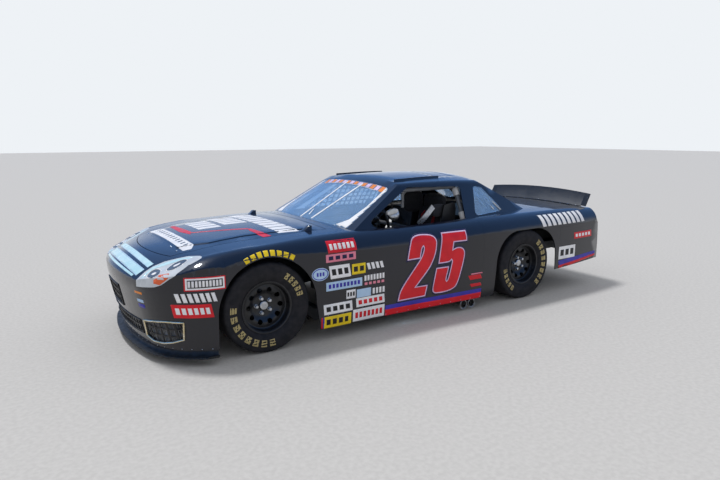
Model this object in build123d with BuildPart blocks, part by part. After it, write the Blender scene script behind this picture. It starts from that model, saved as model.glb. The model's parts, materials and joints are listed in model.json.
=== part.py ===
from build123d import *
from math import asin, cos, radians, sin, sqrt
import os

# Driving dimensions in millimetres: X forward, Y to the driver's left, origin on the ground at the middle
wheelbase = 2794
nose_overhang = 938
tail_overhang = 1266
tyre_radius = 352
tyre_width = 295
tyre_face_y = 915
sill_z = 108
skin = 10
panel_seam = 0.8
lid_gap = 6
seat_gap = 0.4
ledge = 18
ledge_thickness = 5

front_x = (wheelbase + nose_overhang + tail_overhang) / 2 - nose_overhang
rear_x = front_x - wheelbase
nose_x = front_x + nose_overhang
tail_x = rear_x - tail_overhang
wheel_y = tyre_face_y - tyre_width / 2
beyond = 3000

# Lower body sections, each at a distance forward of the front axle
body_sections = (
    # from axle, sill y, side y, crease y, crease z, top y, top z, crown z
    (960, 970, 990, 990, 364, 480, 560, 600),
    (880, 970, 990, 990, 388, 540, 606, 668),
    (780, 970, 990, 990, 440, 610, 655, 722),
    (640, 970, 990, 990, 531, 690, 715, 768),
    (480, 965, 985, 985, 640, 765, 772, 800),
    (325, 931, 951, 945, 715, 805, 800, 822),
    (200, 927, 946, 940, 744, 816, 814, 834),
    (60, 926, 946, 940, 754, 822, 822, 846),
    (-200, 925, 944, 938, 746, 816, 836, 862),
    (-700, 925, 942, 936, 716, 800, 852, 884),
    (-1700, 925, 942, 936, 708, 795, 852, 886),
    (-2700, 925, 944, 938, 722, 795, 860, 890),
    (-3194, 915, 930, 924, 715, 785, 858, 888),
    (-3700, 893, 905, 898, 700, 770, 848, 874),
    (-4200, 868, 880, 872, 680, 750, 828, 850),
)
side_share = 0.58
shoulder_bulge = 0.16

# Roof and pillar sections, each at a distance forward of the front axle
cabin_sections = (
    # from axle, base y, rail y, rail z, crown z
    (-450, 836, 640, 1030, 1110),
    (-950, 862, 633, 1175, 1215),
    (-1450, 868, 626, 1202, 1250),
    (-1950, 866, 622, 1204, 1264),
    (-2400, 818, 590, 1188, 1246),
    (-2900, 730, 530, 1140, 1196),
    (-3350, 650, 470, 1060, 1110),
)
cabin_base_z = 700
rail_radius = 70

# Sloped planes that cut the windshield and rear window faces: a point on each and its slope
windshield_base = (front_x - 700, 862)
windshield_slope = 28.9
windshield_bow = 4150
rear_window_top = (front_x - 2400, 1240)
rear_window_slope = 25.3
rear_window_bow = 3600

# Nose and tail outlines seen from above
nose_bow = 2200
nose_corner = 562
nose_corner_y = 520
nose_flare = (180, 51)
nose_rake = 0.2
nose_rake_z = 560
tail_bow = 5900
tail_side_y = 1000
tail_profile = ((92, 1000), (92, 842), (85, 715), (0, 563), (20, 300), (20, 0))

arch_radius = 395
rear_arch_half = 425
rear_arch_top = 712
rear_arch_corner = 300
nose_seam = front_x + 330
door_front = front_x - 700
door_rear = front_x - 2180
hood_front = front_x + 690
hood_front_side = front_x + 600
hood_front_y = 520
hood_mid = (front_x + 440, 600)
hood_rear_y = 640
hood_rear = front_x - 650
cowl_rear_gap = 8
deck_front = front_x - 3190
deck_y = 640
bumper_front = front_x - 3300
bumper_seam_z = (682, 712)
tail_floor = ((-3150, 240), (-3980, 300))


def section_outline(row, inset, floor_z):
    ahead, sill, side, crease, crease_z, top, top_z, crown_z = row
    sill, side, crease, top = sill - inset, side - inset, crease - inset, top - inset
    crease_z, top_z, crown_z = crease_z - inset, top_z - inset, crown_z - inset
    side_z = side_share * crease_z
    mid_y = (crease + top) / 2 + shoulder_bulge * (top_z - crease_z)
    mid_z = (crease_z + top_z) / 2 + shoulder_bulge * (crease - top)
    with BuildSketch(Plane.YZ.offset(front_x + ahead)) as outline:
        with BuildLine():
            Line((-sill, floor_z), (sill, floor_z))
            ThreePointArc((sill, floor_z), (side, side_z), (crease, crease_z))
            ThreePointArc((crease, crease_z), (mid_y, mid_z), (top, top_z))
            ThreePointArc((top, top_z), (0, crown_z), (-top, top_z))
            ThreePointArc((-top, top_z), (-mid_y, mid_z), (-crease, crease_z))
            ThreePointArc((-crease, crease_z), (-side, side_z), (-sill, floor_z))
        make_face()
    return outline.sketch


def nose_outline(inset):
    swing = asin(nose_corner_y / nose_bow)
    start_x = nose_x - nose_bow + nose_bow * cos(swing)
    centre = (start_x - nose_corner * cos(swing), nose_corner_y - nose_corner * sin(swing))
    half = (swing + radians(90)) / 2
    mid = (centre[0] + nose_corner * cos(half), centre[1] + nose_corner * sin(half))
    end = (centre[0], centre[1] + nose_corner)
    flare = (end[0] - nose_flare[0], end[1] + nose_flare[1])
    with BuildSketch(Plane.XY.offset(nose_rake_z)) as outline:
        with BuildLine():
            ThreePointArc((start_x, -nose_corner_y), (nose_x, 0), (start_x, nose_corner_y))
            ThreePointArc((start_x, nose_corner_y), mid, end)
            Polyline(end, flare, (-beyond, flare[1]), (-beyond, -flare[1]))
            Polyline((-beyond, -flare[1]), (flare[0], -flare[1]), (end[0], -end[1]))
            ThreePointArc((end[0], -end[1]), (mid[0], -mid[1]), (start_x, -nose_corner_y))
        make_face()
        if inset:
            offset(amount=-inset)
    return outline.sketch


def nose_prism(inset):
    with BuildPart() as prism:
        add(nose_outline(inset))
        extrude(amount=beyond)
        add(nose_outline(inset))
        extrude(amount=nose_rake_z, dir=(-nose_rake, 0, -1))
    return prism.part


def lower_body(inset, floor_z):
    with BuildPart() as body:
        for row in body_sections:
            add(section_outline(row, inset, floor_z))
        loft()
        add(nose_prism(inset), mode=Mode.INTERSECT)
        with BuildSketch(Plane.XZ):
            with BuildLine():
                Polyline(*((tail_x + inset + ahead, height) for ahead, height in tail_profile))
                Line((tail_x + inset + tail_profile[-1][0], 0), (beyond, 0))
                Line((beyond, 0), (beyond, tail_profile[0][1]))
                Line((beyond, tail_profile[0][1]), (tail_x + inset + tail_profile[0][0], tail_profile[0][1]))
            make_face()
        extrude(amount=tail_side_y, both=True, mode=Mode.INTERSECT)
        tail_corner = tail_x + tail_bow - sqrt((tail_bow - inset) ** 2 - tail_side_y**2)
        with BuildSketch(Plane.XY):
            with BuildLine():
                ThreePointArc((tail_corner, tail_side_y), (tail_x + inset, 0), (tail_corner, -tail_side_y))
                Line((tail_corner, -tail_side_y), (beyond, -tail_side_y))
                Line((beyond, -tail_side_y), (beyond, tail_side_y))
                Line((beyond, tail_side_y), (tail_corner, tail_side_y))
            make_face()
        extrude(amount=beyond, mode=Mode.INTERSECT)
    return body.part


def cabin_outline(row, inset):
    ahead, base, rail, rail_z, crown_z = row
    base, rail, rail_z, crown_z = base - inset, rail - inset, rail_z - inset, crown_z - inset
    with BuildSketch(Plane.YZ.offset(front_x + ahead)) as outline:
        with BuildLine():
            Line((-base, cabin_base_z), (base, cabin_base_z))
            Line((base, cabin_base_z), (rail, rail_z))
            ThreePointArc((rail, rail_z), (0, crown_z), (-rail, rail_z))
            Line((-rail, rail_z), (-base, cabin_base_z))
        make_face()
        fillet(outline.vertices().group_by(Axis.Y)[-1], radius=rail_radius - inset)
    return outline.sketch


def glass_plane(point, slope, facing, inset):
    tilt = radians(slope)
    return Plane(
        origin=(point[0] - facing * sin(tilt) * inset, 0, point[1] - cos(tilt) * inset),
        x_dir=(0, 1, 0),
        z_dir=(-cos(tilt), 0, facing * sin(tilt)),
    )


def cabin_body(inset):
    with BuildPart() as body:
        for row in cabin_sections:
            add(cabin_outline(row, inset))
        loft()
        for point, slope, facing, bow in (
            (windshield_base, windshield_slope, 1, windshield_bow),
            (rear_window_top, rear_window_slope, -1, rear_window_bow),
        ):
            wide = 1100
            sag = bow - sqrt(bow**2 - wide**2)
            with BuildSketch(glass_plane(point, slope, facing, inset)):
                with BuildLine():
                    ThreePointArc((-wide, sag), (0, 0), (wide, sag))
                    Line((wide, sag), (wide, beyond))
                    Line((wide, beyond), (-wide, beyond))
                    Line((-wide, beyond), (-wide, sag))
                make_face()
            extrude(amount=beyond, both=True, mode=Mode.INTERSECT)
    return body.part


def save(piece, name):
    piece.label = name
    export_step(piece, f"parts/{name}.step")


def side_prism(points, half_width=beyond):
    with BuildPart() as prism:
        with BuildSketch(Plane.XZ):
            with BuildLine():
                Polyline(*points, close=True)
            make_face()
        extrude(amount=half_width, both=True)
    return prism.part


def block(x, y, z):
    with BuildPart() as solid:
        with Locations(((x[0] + x[1]) / 2, (y[0] + y[1]) / 2, (z[0] + z[1]) / 2)):
            Box(x[1] - x[0], y[1] - y[0], z[1] - z[0])
    return solid.part


def bar(start, end, radius):
    run = Vector(*end) - Vector(*start)
    with BuildPart() as tube:
        with BuildSketch(Plane(origin=start, z_dir=run)):
            Circle(radius)
        extrude(amount=run.length)
    return tube.part


def lid_outline(points, front_arc, floor, spread):
    with BuildPart() as prism:
        with BuildSketch(Plane.XY.offset(floor - spread)):
            with BuildLine():
                if front_arc:
                    ThreePointArc((points[0][0], -points[0][1]), (front_arc, 0), points[0])
                else:
                    Line((points[0][0], -points[0][1]), points[0])
                Polyline(*points)
                Line(points[-1], (points[-1][0], -points[-1][1]))
                Polyline(*((x, -y) for x, y in points))
            make_face()
            if spread:
                offset(amount=spread, kind=Kind.INTERSECTION)
        extrude(amount=lid_reach)
    return prism.part


hood_floor = 600
deck_floor = 790
lid_reach = 500
deck_rear_y = 700
hood_points = ((hood_front_side, hood_front_y), hood_mid, (hood_rear, hood_rear_y))
deck_points = ((deck_front, deck_y), (tail_x - 200, deck_rear_y))
os.makedirs("parts", exist_ok=True)

# Solid forms that every body panel is cut from
outer_body = lower_body(0, sill_z)
inner_body = lower_body(skin, sill_z - 60)
outer_cabin = cabin_body(0)
inner_cabin = cabin_body(skin)
rest_body = lower_body(skin + seat_gap, sill_z - 60)

# Wheel arches, tail floor and nose openings go right through
with BuildPart() as arches:
    with BuildSketch(Plane.XZ):
        with BuildLine():
            ThreePointArc(
                (front_x + arch_radius, tyre_radius),
                (front_x, tyre_radius + arch_radius),
                (front_x - arch_radius, tyre_radius),
            )
            Line((front_x - arch_radius, tyre_radius), (front_x - arch_radius - 60, 0))
            Line((front_x - arch_radius - 60, 0), (front_x + arch_radius, 0))
            Line((front_x + arch_radius, 0), (front_x + arch_radius, tyre_radius))
        make_face()
    extrude(amount=beyond, both=True)
    with BuildSketch(Plane.XZ) as rear_arch:
        with BuildLine():
            Polyline(
                (rear_x - rear_arch_half - 40, 0),
                (rear_x - rear_arch_half, rear_arch_top),
                (rear_x + rear_arch_half, rear_arch_top),
                (rear_x + rear_arch_half + 30, 0),
                close=True,
            )
        make_face()
        fillet(rear_arch.vertices().group_by(Axis.Y)[-1], radius=rear_arch_corner)
    extrude(amount=beyond, both=True)
tail_under = side_prism(
    (
        (front_x + tail_floor[0][0], tail_floor[0][1]),
        (front_x + tail_floor[1][0] - 300, tail_floor[1][1]),
        (front_x + tail_floor[1][0] - 300, 0),
        (front_x + tail_floor[0][0], 0),
    )
)
with BuildPart() as shell:
    add(outer_body)
    add(inner_body, mode=Mode.SUBTRACT)
    add(outer_cabin, mode=Mode.SUBTRACT)
    add(arches.part, mode=Mode.SUBTRACT)
    add(tail_under, mode=Mode.SUBTRACT)

# Nose intakes, drawn looking along the car: two in the middle, and one at each corner
upper_mouth = ((-190, 335), (190, 335), (190, 512), (-190, 512))
lower_mouth = ((-480, 180), (480, 180), (480, 295), (-480, 295))
corner_mouth = (
    (540, 300),
    (740, 331),
    (849, 331),
    (829, 191),
    (764, 165),
    (692, 149),
    (599, 149),
    (524, 179),
)
corner_mirror = tuple((-y, z) for y, z in corner_mouth)
mouths = ((upper_mouth, 30), (lower_mouth, 30), (corner_mouth, 24), (corner_mirror, 24))
intake_plane = Plane.YZ.offset(front_x + 480)
intake_reach = 600
hood_gap_block = lid_outline(hood_points, hood_front, hood_floor, lid_gap)
hood_block = lid_outline(hood_points, hood_front, hood_floor, 0)
deck_gap_block = lid_outline(deck_points, None, deck_floor, lid_gap)
deck_block = lid_outline(deck_points, None, deck_floor, 0)
cowl_block = block((front_x - 950, hood_rear - cowl_rear_gap), (-hood_rear_y, hood_rear_y), (600, 1200))
cowl_gap_block = block(
    (front_x - 950, hood_rear - cowl_rear_gap),
    (-hood_rear_y - panel_seam, hood_rear_y + panel_seam),
    (600, 1200),
)
bumper_front_z = bumper_seam_z[0]
bumper_rear_z = bumper_seam_z[1]


def bumper_region(spread):
    with BuildPart() as region:
        add(
            side_prism(
                (
                    (bumper_front + spread, -10),
                    (bumper_front + spread, bumper_front_z + spread),
                    (tail_x - 50, bumper_rear_z + spread),
                    (tail_x - 50, -10),
                ),
            )
        )
        add(block((tail_x - 50, tail_x + 160 + spread), (-690 - spread, 690 + spread), (600, 800)))
    return region.part


def panel(name, x, y, cuts):
    with BuildPart() as piece:
        add(shell.part)
        add(block(x, y, (0, 1500)), mode=Mode.INTERSECT)
        for cut in cuts:
            add(cut, mode=Mode.SUBTRACT)
    save(piece.part, name)
    return piece.part




def mouth_outline(points, round_radius, inset):
    with BuildSketch() as outline:
        Polygon(*points, align=None)
        fillet(outline.vertices(), radius=round_radius)
        if inset:
            offset(amount=-inset)
    return outline.sketch


with BuildPart() as intakes:
    for points, round_radius in mouths:
        with BuildSketch(intake_plane):
            add(mouth_outline(points, round_radius, 0))
        extrude(amount=intake_reach)

# Lamp outline from above and from the side
lamp_plan = (
    (900, 575),
    (862, 562),
    (793, 541),
    (734, 537),
    (653, 565),
    (580, 620),
    (514, 672),
    (440, 775),
    (440, 1000),
    (900, 1000),
)
lamp_side = (
    (900, 560),
    (862, 568),
    (778, 585),
    (740, 605),
    (694, 648),
    (642, 688),
    (560, 736),
    (440, 784),
    (440, 900),
    (900, 900),
)
lamp_floor = 540
lamp_reach = 340
lamp_round = 14
wide = 1200


def lamp_block(side, spread):
    with BuildPart() as lamp:
        with BuildSketch(Plane.XY.offset(lamp_floor)) as plan:
            Polygon(*((front_x + ahead, side * y) for ahead, y in lamp_plan), align=None)
            fillet(plan.vertices(), radius=lamp_round)
            if spread:
                offset(amount=spread)
        extrude(amount=lamp_reach)
        with BuildSketch(Plane.XZ):
            Polygon(*((front_x + ahead, height) for ahead, height in lamp_side), align=None)
            if spread:
                offset(amount=spread)
        extrude(amount=wide, both=True, mode=Mode.INTERSECT)
    return lamp.part


lamp_gap = 0.5
lamp_cuts = (lamp_block(1, lamp_gap), lamp_block(-1, lamp_gap))
nose_box = block((nose_seam + panel_seam, nose_x + 60), (-wide, wide), (0, 1500))
nose_core = block((nose_seam - 50, nose_x + 60), (-wide, wide), (0, 1500))
nose_skin = (outer_body & nose_box) - (inner_body & nose_core)
with BuildPart() as nose:
    add(nose_skin)
    add(hood_gap_block, mode=Mode.SUBTRACT)
    add(intakes.part, mode=Mode.SUBTRACT)
    for cut in lamp_cuts:
        add(cut, mode=Mode.SUBTRACT)
    add(arches.part, mode=Mode.SUBTRACT)
save(nose.part, "nose")
with BuildPart() as lamps:
    add(lamp_block(1, 0))
    add(lamp_block(-1, 0))
headlights = nose_skin & lamps.part
save(headlights, "headlights")

# Grilles fill the intakes: a proud frame around a plate of crossing bars
bar_pitch = 46
bar_width = 9
grille_gap = 0.4
frame_width = 15
frame_proud = 3
grille_inset = 2
grille_back = 9


def grille_band(proud):
    with BuildPart() as band:
        with BuildSketch(Plane.XY.offset(nose_rake_z)):
            add(nose_outline(proud))
            add(nose_outline(grille_back), mode=Mode.SUBTRACT)
        extrude(amount=nose_rake_z, dir=(-nose_rake, 0, -1))
    return band.part


def grille(points, round_radius):
    inner = mouth_outline(points, round_radius, frame_width)
    bounds = inner.bounding_box()
    columns = round(bounds.size.X / bar_pitch)
    rows = round(bounds.size.Y / bar_pitch)
    cell_y = (bounds.size.X + bar_width) / columns
    cell_z = (bounds.size.Y + bar_width) / rows
    with BuildPart() as plate:
        with BuildSketch(intake_plane):
            add(mouth_outline(points, round_radius, grille_gap))
        extrude(amount=intake_reach)
        add(grille_band(grille_inset), mode=Mode.INTERSECT)
        with BuildSketch(intake_plane):
            with Locations((bounds.center().X, bounds.center().Y)):
                with GridLocations(cell_y, cell_z, columns, rows):
                    Rectangle(cell_y - bar_width, cell_z - bar_width)
            add(inner, mode=Mode.INTERSECT)
        extrude(amount=intake_reach, mode=Mode.SUBTRACT)
    with BuildPart() as ring:
        with BuildSketch(intake_plane):
            add(mouth_outline(points, round_radius, grille_gap))
        extrude(amount=intake_reach)
        add(grille_band(-frame_proud), mode=Mode.INTERSECT)
        with BuildSketch(intake_plane):
            add(inner)
        extrude(amount=intake_reach, mode=Mode.SUBTRACT)
    return plate.part + ring.part


grilles = Compound([grille(points, round_radius) for points, round_radius in mouths])
save(grilles, "grilles")

# Air dam: a skirt below the nose with a lip that stands out in front
lip_out = 42
lip_z = (58, 74)
skirt_thick = 14
dam_rear = front_x + 400
bottom_shift = nose_rake * (nose_rake_z - sill_z)
with BuildPart() as air_dam:
    with BuildSketch(Plane.XY.offset(lip_z[0])) as lip:
        with Locations((-bottom_shift, 0)):
            add(nose_outline(-lip_out))
            add(nose_outline(60), mode=Mode.SUBTRACT)
    extrude(amount=lip_z[1] - lip_z[0])
    with BuildSketch(Plane.XY.offset(lip_z[1])):
        with Locations((-bottom_shift, 0)):
            add(nose_outline(4))
            add(nose_outline(4 + skirt_thick), mode=Mode.SUBTRACT)
    extrude(amount=sill_z - 0.3 - lip_z[1])
    add(block((dam_rear, nose_x + 100), (-943, 943), (0, 200)), mode=Mode.INTERSECT)
save(air_dam.part, "air_dam")
scoop_x = front_x - 440
scoop_y = 590
scoop_half = 26
scoop_rise = 62
hood_rest_z = 838
hood_step = 5.5
hood_rise_points = ((520, 400), (300, 500), (0, 480), (-300, 520), (-560, 545))
with BuildPart() as hood_rise:
    add(outer_body.moved(Location((0, 0, hood_step))))
    with BuildSketch(Plane.XY.offset(hood_floor)):
        Polygon(
            *((front_x + ahead, y) for ahead, y in hood_rise_points),
            *((front_x + ahead, -y) for ahead, y in reversed(hood_rise_points)),
            align=None,
        )
    extrude(amount=lid_reach, mode=Mode.INTERSECT)
with BuildPart() as hood:
    add(outer_body)
    add(hood_block, mode=Mode.INTERSECT)
    add(hood_rise.part)
    add(inner_body, mode=Mode.SUBTRACT)
    add(outer_cabin, mode=Mode.SUBTRACT)
    for side in (1, -1):
        with BuildSketch(Plane.XZ.offset(-side * scoop_y - scoop_half)):
            Polygon(
                (scoop_x, hood_rest_z),
                (scoop_x - 70, hood_rest_z + scoop_rise),
                (scoop_x - 95, hood_rest_z + scoop_rise),
                (scoop_x - 95, hood_rest_z),
                align=None,
            )
        extrude(amount=2 * scoop_half)
save(hood.part, "hood")
with BuildPart() as deck:
    add(outer_body)
    add(deck_block, mode=Mode.INTERSECT)
    add(inner_body, mode=Mode.SUBTRACT)
save(deck.part, "deck_lid")

# Spoiler blade across the rear edge of the deck lid, with a flange on the lid
blade_foot = tail_x + 147
blade_z = (800, 1020)
blade_lean = 0.55 * (blade_z[1] - blade_z[0])
blade_thick = 6
blade_top_z = (982, 1018)
blade_y = 740
flange_x = (blade_foot - 40, blade_foot + 30)
flange_y = 668
flange_thick = 5
spoiler_seat = 0.3
lid_edge_y = 674
with BuildPart() as flange:
    add(outer_body.moved(Location((0, 0, flange_thick))))
    add(block(flange_x, (-flange_y, flange_y), blade_z), mode=Mode.INTERSECT)
with BuildPart() as quarter_clearance:
    add(outer_body.moved(Location((0, 0, lid_gap + 1))))
    add(block((tail_x, tail_x + 400), (-lid_edge_y, lid_edge_y), (0, beyond)), mode=Mode.SUBTRACT)
with BuildPart() as spoiler:
    with BuildSketch(Plane.XZ.offset(-blade_y)):
        Polygon(
            (blade_foot, blade_z[0]),
            (blade_foot - blade_lean, blade_z[1]),
            (blade_foot - blade_lean - blade_thick, blade_z[1]),
            (blade_foot - blade_thick, blade_z[0]),
            align=None,
        )
    extrude(amount=2 * blade_y)
    with BuildSketch(Plane.YZ.offset(tail_x)):
        with BuildLine():
            ThreePointArc((-blade_y, blade_top_z[0]), (0, blade_top_z[1]), (blade_y, blade_top_z[0]))
            Line((blade_y, blade_top_z[0]), (blade_y, 700))
            Line((blade_y, 700), (-blade_y, 700))
            Line((-blade_y, 700), (-blade_y, blade_top_z[0]))
        make_face()
    extrude(amount=600, mode=Mode.INTERSECT)
    add(flange.part)
    add(outer_body.moved(Location((0, 0, spoiler_seat))), mode=Mode.SUBTRACT)
    add(quarter_clearance.part, mode=Mode.SUBTRACT)
save(spoiler.part, "spoiler")
for side, name in ((1, "left"), (-1, "right")):
    half = (0, wide) if side > 0 else (-wide, 0)
    panel(f"fender_{name}", (door_front + panel_seam, nose_seam), half, (hood_gap_block, cowl_gap_block))
    panel(f"door_{name}", (door_rear + panel_seam, door_front), half, (cowl_gap_block, hood_gap_block))
    seam_half = (panel_seam / 2, wide) if side > 0 else (-wide, -panel_seam / 2)
    panel(f"quarter_{name}", (tail_x - 60, door_rear), seam_half, (deck_gap_block, bumper_region(panel_seam)))
with BuildPart() as cowl:
    add(shell.part)
    add(cowl_block, mode=Mode.INTERSECT)
save(cowl.part, "cowl")
with BuildPart() as bumper:
    add(shell.part)
    add(bumper_region(0), mode=Mode.INTERSECT)
    add(deck_gap_block, mode=Mode.SUBTRACT)
save(bumper.part, "rear_bumper")

# Roof with its pillars, windows and the two flaps at its rear
side_windows = (
    ((-985, 893), (-1110, 835), (-2090, 835), (-2140, 1152), (-1500, 1170)),
    ((-2240, 870), (-2325, 1146), (-2440, 1124), (-2700, 884)),
)
screen_bottom_y = 715
screen_top_y = 597
screen_run = (22, 705)
rear_screen_bottom_y = 560
rear_screen_top_y = 520
rear_screen_run = (40, 740)
window_gap = 0.5
tray_gap = 0.9
flap_front = front_x - 2020
flap_rear = front_x - 2230
flap_y = (15, 400)


def flap_block(side, spread):
    low, high = sorted((side * flap_y[0], side * flap_y[1]))
    return block(
        (flap_rear - spread, flap_front + spread),
        (low - (spread if side < 0 else spread / 3), high + (spread if side > 0 else spread / 3)),
        (1100, 1400),
    )


def side_window(points, spread):
    with BuildPart() as hole:
        with BuildSketch(Plane.XZ) as outline:
            with BuildLine():
                Polyline(*((front_x + ahead, height) for ahead, height in points), close=True)
            make_face()
            fillet(outline.vertices(), radius=35)
            if spread:
                offset(amount=-spread)
        extrude(amount=beyond, both=True)
    return hole.part


def screen_hole(point, slope, facing, run, bottom_y, top_y, spread):
    glass = glass_plane(point, slope, facing, 0)
    across = Plane(origin=glass.origin, x_dir=(0, 1, 0), z_dir=glass.y_dir)
    sign = 1 if across.y_dir.Z > 0 else -1
    start, end = run
    with BuildPart() as hole:
        with BuildSketch(across) as outline:
            with BuildLine():
                Polyline(
                    (-bottom_y, sign * start),
                    (bottom_y, sign * start),
                    (top_y, sign * end),
                    (-top_y, sign * end),
                    close=True,
                )
            make_face()
            fillet(outline.vertices(), radius=60)
            if spread:
                offset(amount=-spread)
        extrude(amount=250, both=True)
    return hole.part


rear_screen_base = (
    rear_window_top[0] - rear_screen_run[1] * cos(radians(rear_window_slope)),
    rear_window_top[1] - rear_screen_run[1] * sin(radians(rear_window_slope)),
)
front_hole = (windshield_base, windshield_slope, 1, screen_run, screen_bottom_y, screen_top_y)
rear_hole = (rear_screen_base, rear_window_slope, -1, (30, 700), rear_screen_bottom_y, rear_screen_top_y)
tray_top = cabin_body(skin + tray_gap)
tray_floor = cabin_body(skin + ledge_thickness)
with BuildPart() as cabin_shell:
    add(outer_cabin)
    add(inner_cabin, mode=Mode.SUBTRACT)
    add(outer_body, mode=Mode.SUBTRACT)
with BuildPart() as trays:
    for side in (1, -1):
        add(flap_block(side, lid_gap + ledge))
with BuildPart() as flap_holes:
    for side in (1, -1):
        add(flap_block(side, lid_gap))
tray_flange = (inner_cabin & trays.part) - tray_floor - flap_holes.part
tray_seat = (tray_top & flap_holes.part) - tray_floor
strip_half = 2.5
strip_rise = 20
strip_line = ((front_x - 1440, 521), (front_x - 2000, 479))
with BuildPart() as roof_strips:
    for side in (1, -1):
        with BuildSketch(Plane.XY.offset(cabin_base_z)):
            Polygon(
                (strip_line[0][0], side * (strip_line[0][1] - strip_half)),
                (strip_line[0][0], side * (strip_line[0][1] + strip_half)),
                (strip_line[1][0], side * (strip_line[1][1] + strip_half)),
                (strip_line[1][0], side * (strip_line[1][1] - strip_half)),
                align=None,
            )
        extrude(amount=1000)
    add(outer_cabin.moved(Location((0, 0, strip_rise))), mode=Mode.INTERSECT)
    add(inner_cabin, mode=Mode.SUBTRACT)
    add(block((-beyond, beyond), (-beyond, beyond), (0, 1100)), mode=Mode.SUBTRACT)
with BuildPart() as roof:
    add(cabin_shell.part)
    add(roof_strips.part)
    add(screen_hole(*front_hole, 0), mode=Mode.SUBTRACT)
    add(screen_hole(*rear_hole, 0), mode=Mode.SUBTRACT)
    for points in side_windows:
        add(side_window(points, 0), mode=Mode.SUBTRACT)
    for side in (1, -1):
        add(flap_block(side, lid_gap), mode=Mode.SUBTRACT)
    add(tray_flange)
    add(tray_seat)
save(roof.part, "roof")
for hole, name in ((front_hole, "windshield"), (rear_hole, "rear_window")):
    with BuildPart() as glass:
        add(cabin_shell.part)
        add(screen_hole(*hole, window_gap), mode=Mode.INTERSECT)
    save(glass.part, name)
with BuildPart() as quarter_windows:
    add(cabin_shell.part)
    add(side_window(side_windows[1], window_gap), mode=Mode.INTERSECT)
save(quarter_windows.part, "quarter_windows")
for side, name in ((1, "left"), (-1, "right")):
    with BuildPart() as flap:
        add(cabin_shell.part)
        add(flap_block(side, 0), mode=Mode.INTERSECT)
    save(flap.part, f"roof_flap_{name}")


def tube_path(points, radii, radius):
    with BuildPart() as tube:
        with BuildLine() as route:
            FilletPolyline(*points, radius=radii)
        with BuildSketch(Plane(origin=route.line @ 0, z_dir=route.line % 0)):
            Circle(radius)
        sweep()
    return tube.part


def pair(low, high):
    return ((low, high), (-high, -low))


# Chassis rails with their cross members and suspension towers
rail_z = (130, 230)
rail_y = (690, 750)
snout_y = (300, 360)
snout_z = (200, 290)
tail_rail_y = (390, 450)
tower_top = 500
rail_front = front_x - 480
rail_rear = front_x - 2330
beam = 60
jack_x = (front_x - 700, front_x - 2240)
jack_half = 50
jack_drop = 8
axle_z = tyre_radius
rest_radius = 12
lid_rests = (
    (front_x + 560, 330, snout_z[1]),
    (front_x - 100, 330, snout_z[1]),
    (front_x - 3850, 420, 430),
)
with BuildPart() as rests:
    for x, y, foot in lid_rests:
        for side in (1, -1):
            add(bar((x, side * y, foot - 1), (x, side * y, 1000), rest_radius))
with BuildPart() as frame:
    for y in pair(*rail_y):
        add(block((rail_rear, rail_front), y, rail_z))
        for x in jack_x:
            add(block((x - jack_half, x + jack_half), y, (rail_z[0] - jack_drop, rail_z[0])))
    for x in (rail_front - beam, rail_rear):
        add(block((x, x + beam), (-rail_y[1], rail_y[1]), rail_z))
    for y in pair(*snout_y):
        add(block((rail_front - beam, front_x + 700), y, snout_z))
        add(block((front_x - beam, front_x + beam), y, (snout_z[0], tower_top)))
    for x in (front_x - 60, front_x + 640):
        add(block((x, x + beam), (-snout_y[1], snout_y[1]), (snout_z[0], snout_z[0] + beam)))
    kick = (
        (rail_rear + beam, rail_z[0]),
        (rail_rear + beam, rail_z[1]),
        (rail_rear, rail_z[1]),
        (rail_rear - 120, 550),
        (rail_rear - 770, 550),
        (rail_rear - 920, 430),
        (front_x - 3880, 430),
        (front_x - 3880, 350),
        (rail_rear - 950, 350),
        (rail_rear - 800, 470),
        (rail_rear - 170, 470),
        (rail_rear - 50, rail_z[0]),
    )
    for y in pair(*tail_rail_y):
        with BuildSketch(Plane.XZ.offset(-y[1])):
            Polygon(*kick, align=None)
        extrude(amount=y[1] - y[0])
    add(block((front_x - 3880, front_x - 3880 + beam), (-tail_rail_y[1], tail_rail_y[1]), (350, 410)))
    add(rest_body & rests.part)
save(frame.part, "frame_rails")

# Floor, firewall, tunnel, rear bulkhead and shelf in sheet
sheet = 4
floor_z = rail_z[1] + 6
floor_y = 685
tail_floor_y = 590
firewall_x = front_x - 770
bulkhead_x = front_x - 2290
shelf_z = 838
trunk_z = 556
tunnel_y = 140
tunnel_z = 480
stay_top = (front_x - 2130, 470, 1150)
stay_foot = (front_x - 3060, 420, 550.3)
cage_radius = 22


def stay_end(side):
    # The stay runs on past its foot and is cut level there
    return (
        stay_foot[0] - (stay_top[0] - stay_foot[0]) / 8,
        side * (stay_foot[1] - (stay_top[1] - stay_foot[1]) / 8),
        stay_foot[2] - (stay_top[2] - stay_foot[2]) / 8,
    )


with BuildPart() as floor_pan:
    add(block((bulkhead_x, firewall_x + sheet), (-floor_y, floor_y), (floor_z - 5.7, floor_z)))
    add(block((firewall_x, firewall_x + sheet), (-floor_y, floor_y), (floor_z - 5.7, 836)))
    add(block((bulkhead_x, bulkhead_x + sheet), (-floor_y, floor_y), (floor_z - 5.7, shelf_z)))
    add(block((front_x - 3150, bulkhead_x), (-tail_floor_y, tail_floor_y), (shelf_z - sheet, shelf_z)))
    add(block((front_x - 3290, bulkhead_x), (-tail_floor_y, tail_floor_y), (trunk_z, trunk_z + sheet)))
    add(block((bulkhead_x, firewall_x + sheet), (-tunnel_y, tunnel_y), (floor_z - sheet, tunnel_z)))
    add(
        block(
            (bulkhead_x - 10, firewall_x + sheet + 10),
            (sheet - tunnel_y, tunnel_y - sheet),
            (0, tunnel_z - sheet),
        ),
        mode=Mode.SUBTRACT,
    )
    for side in (1, -1):
        start = (stay_top[0], side * stay_top[1], stay_top[2])
        add(bar(start, stay_end(side), cage_radius + 1), mode=Mode.SUBTRACT)
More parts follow.
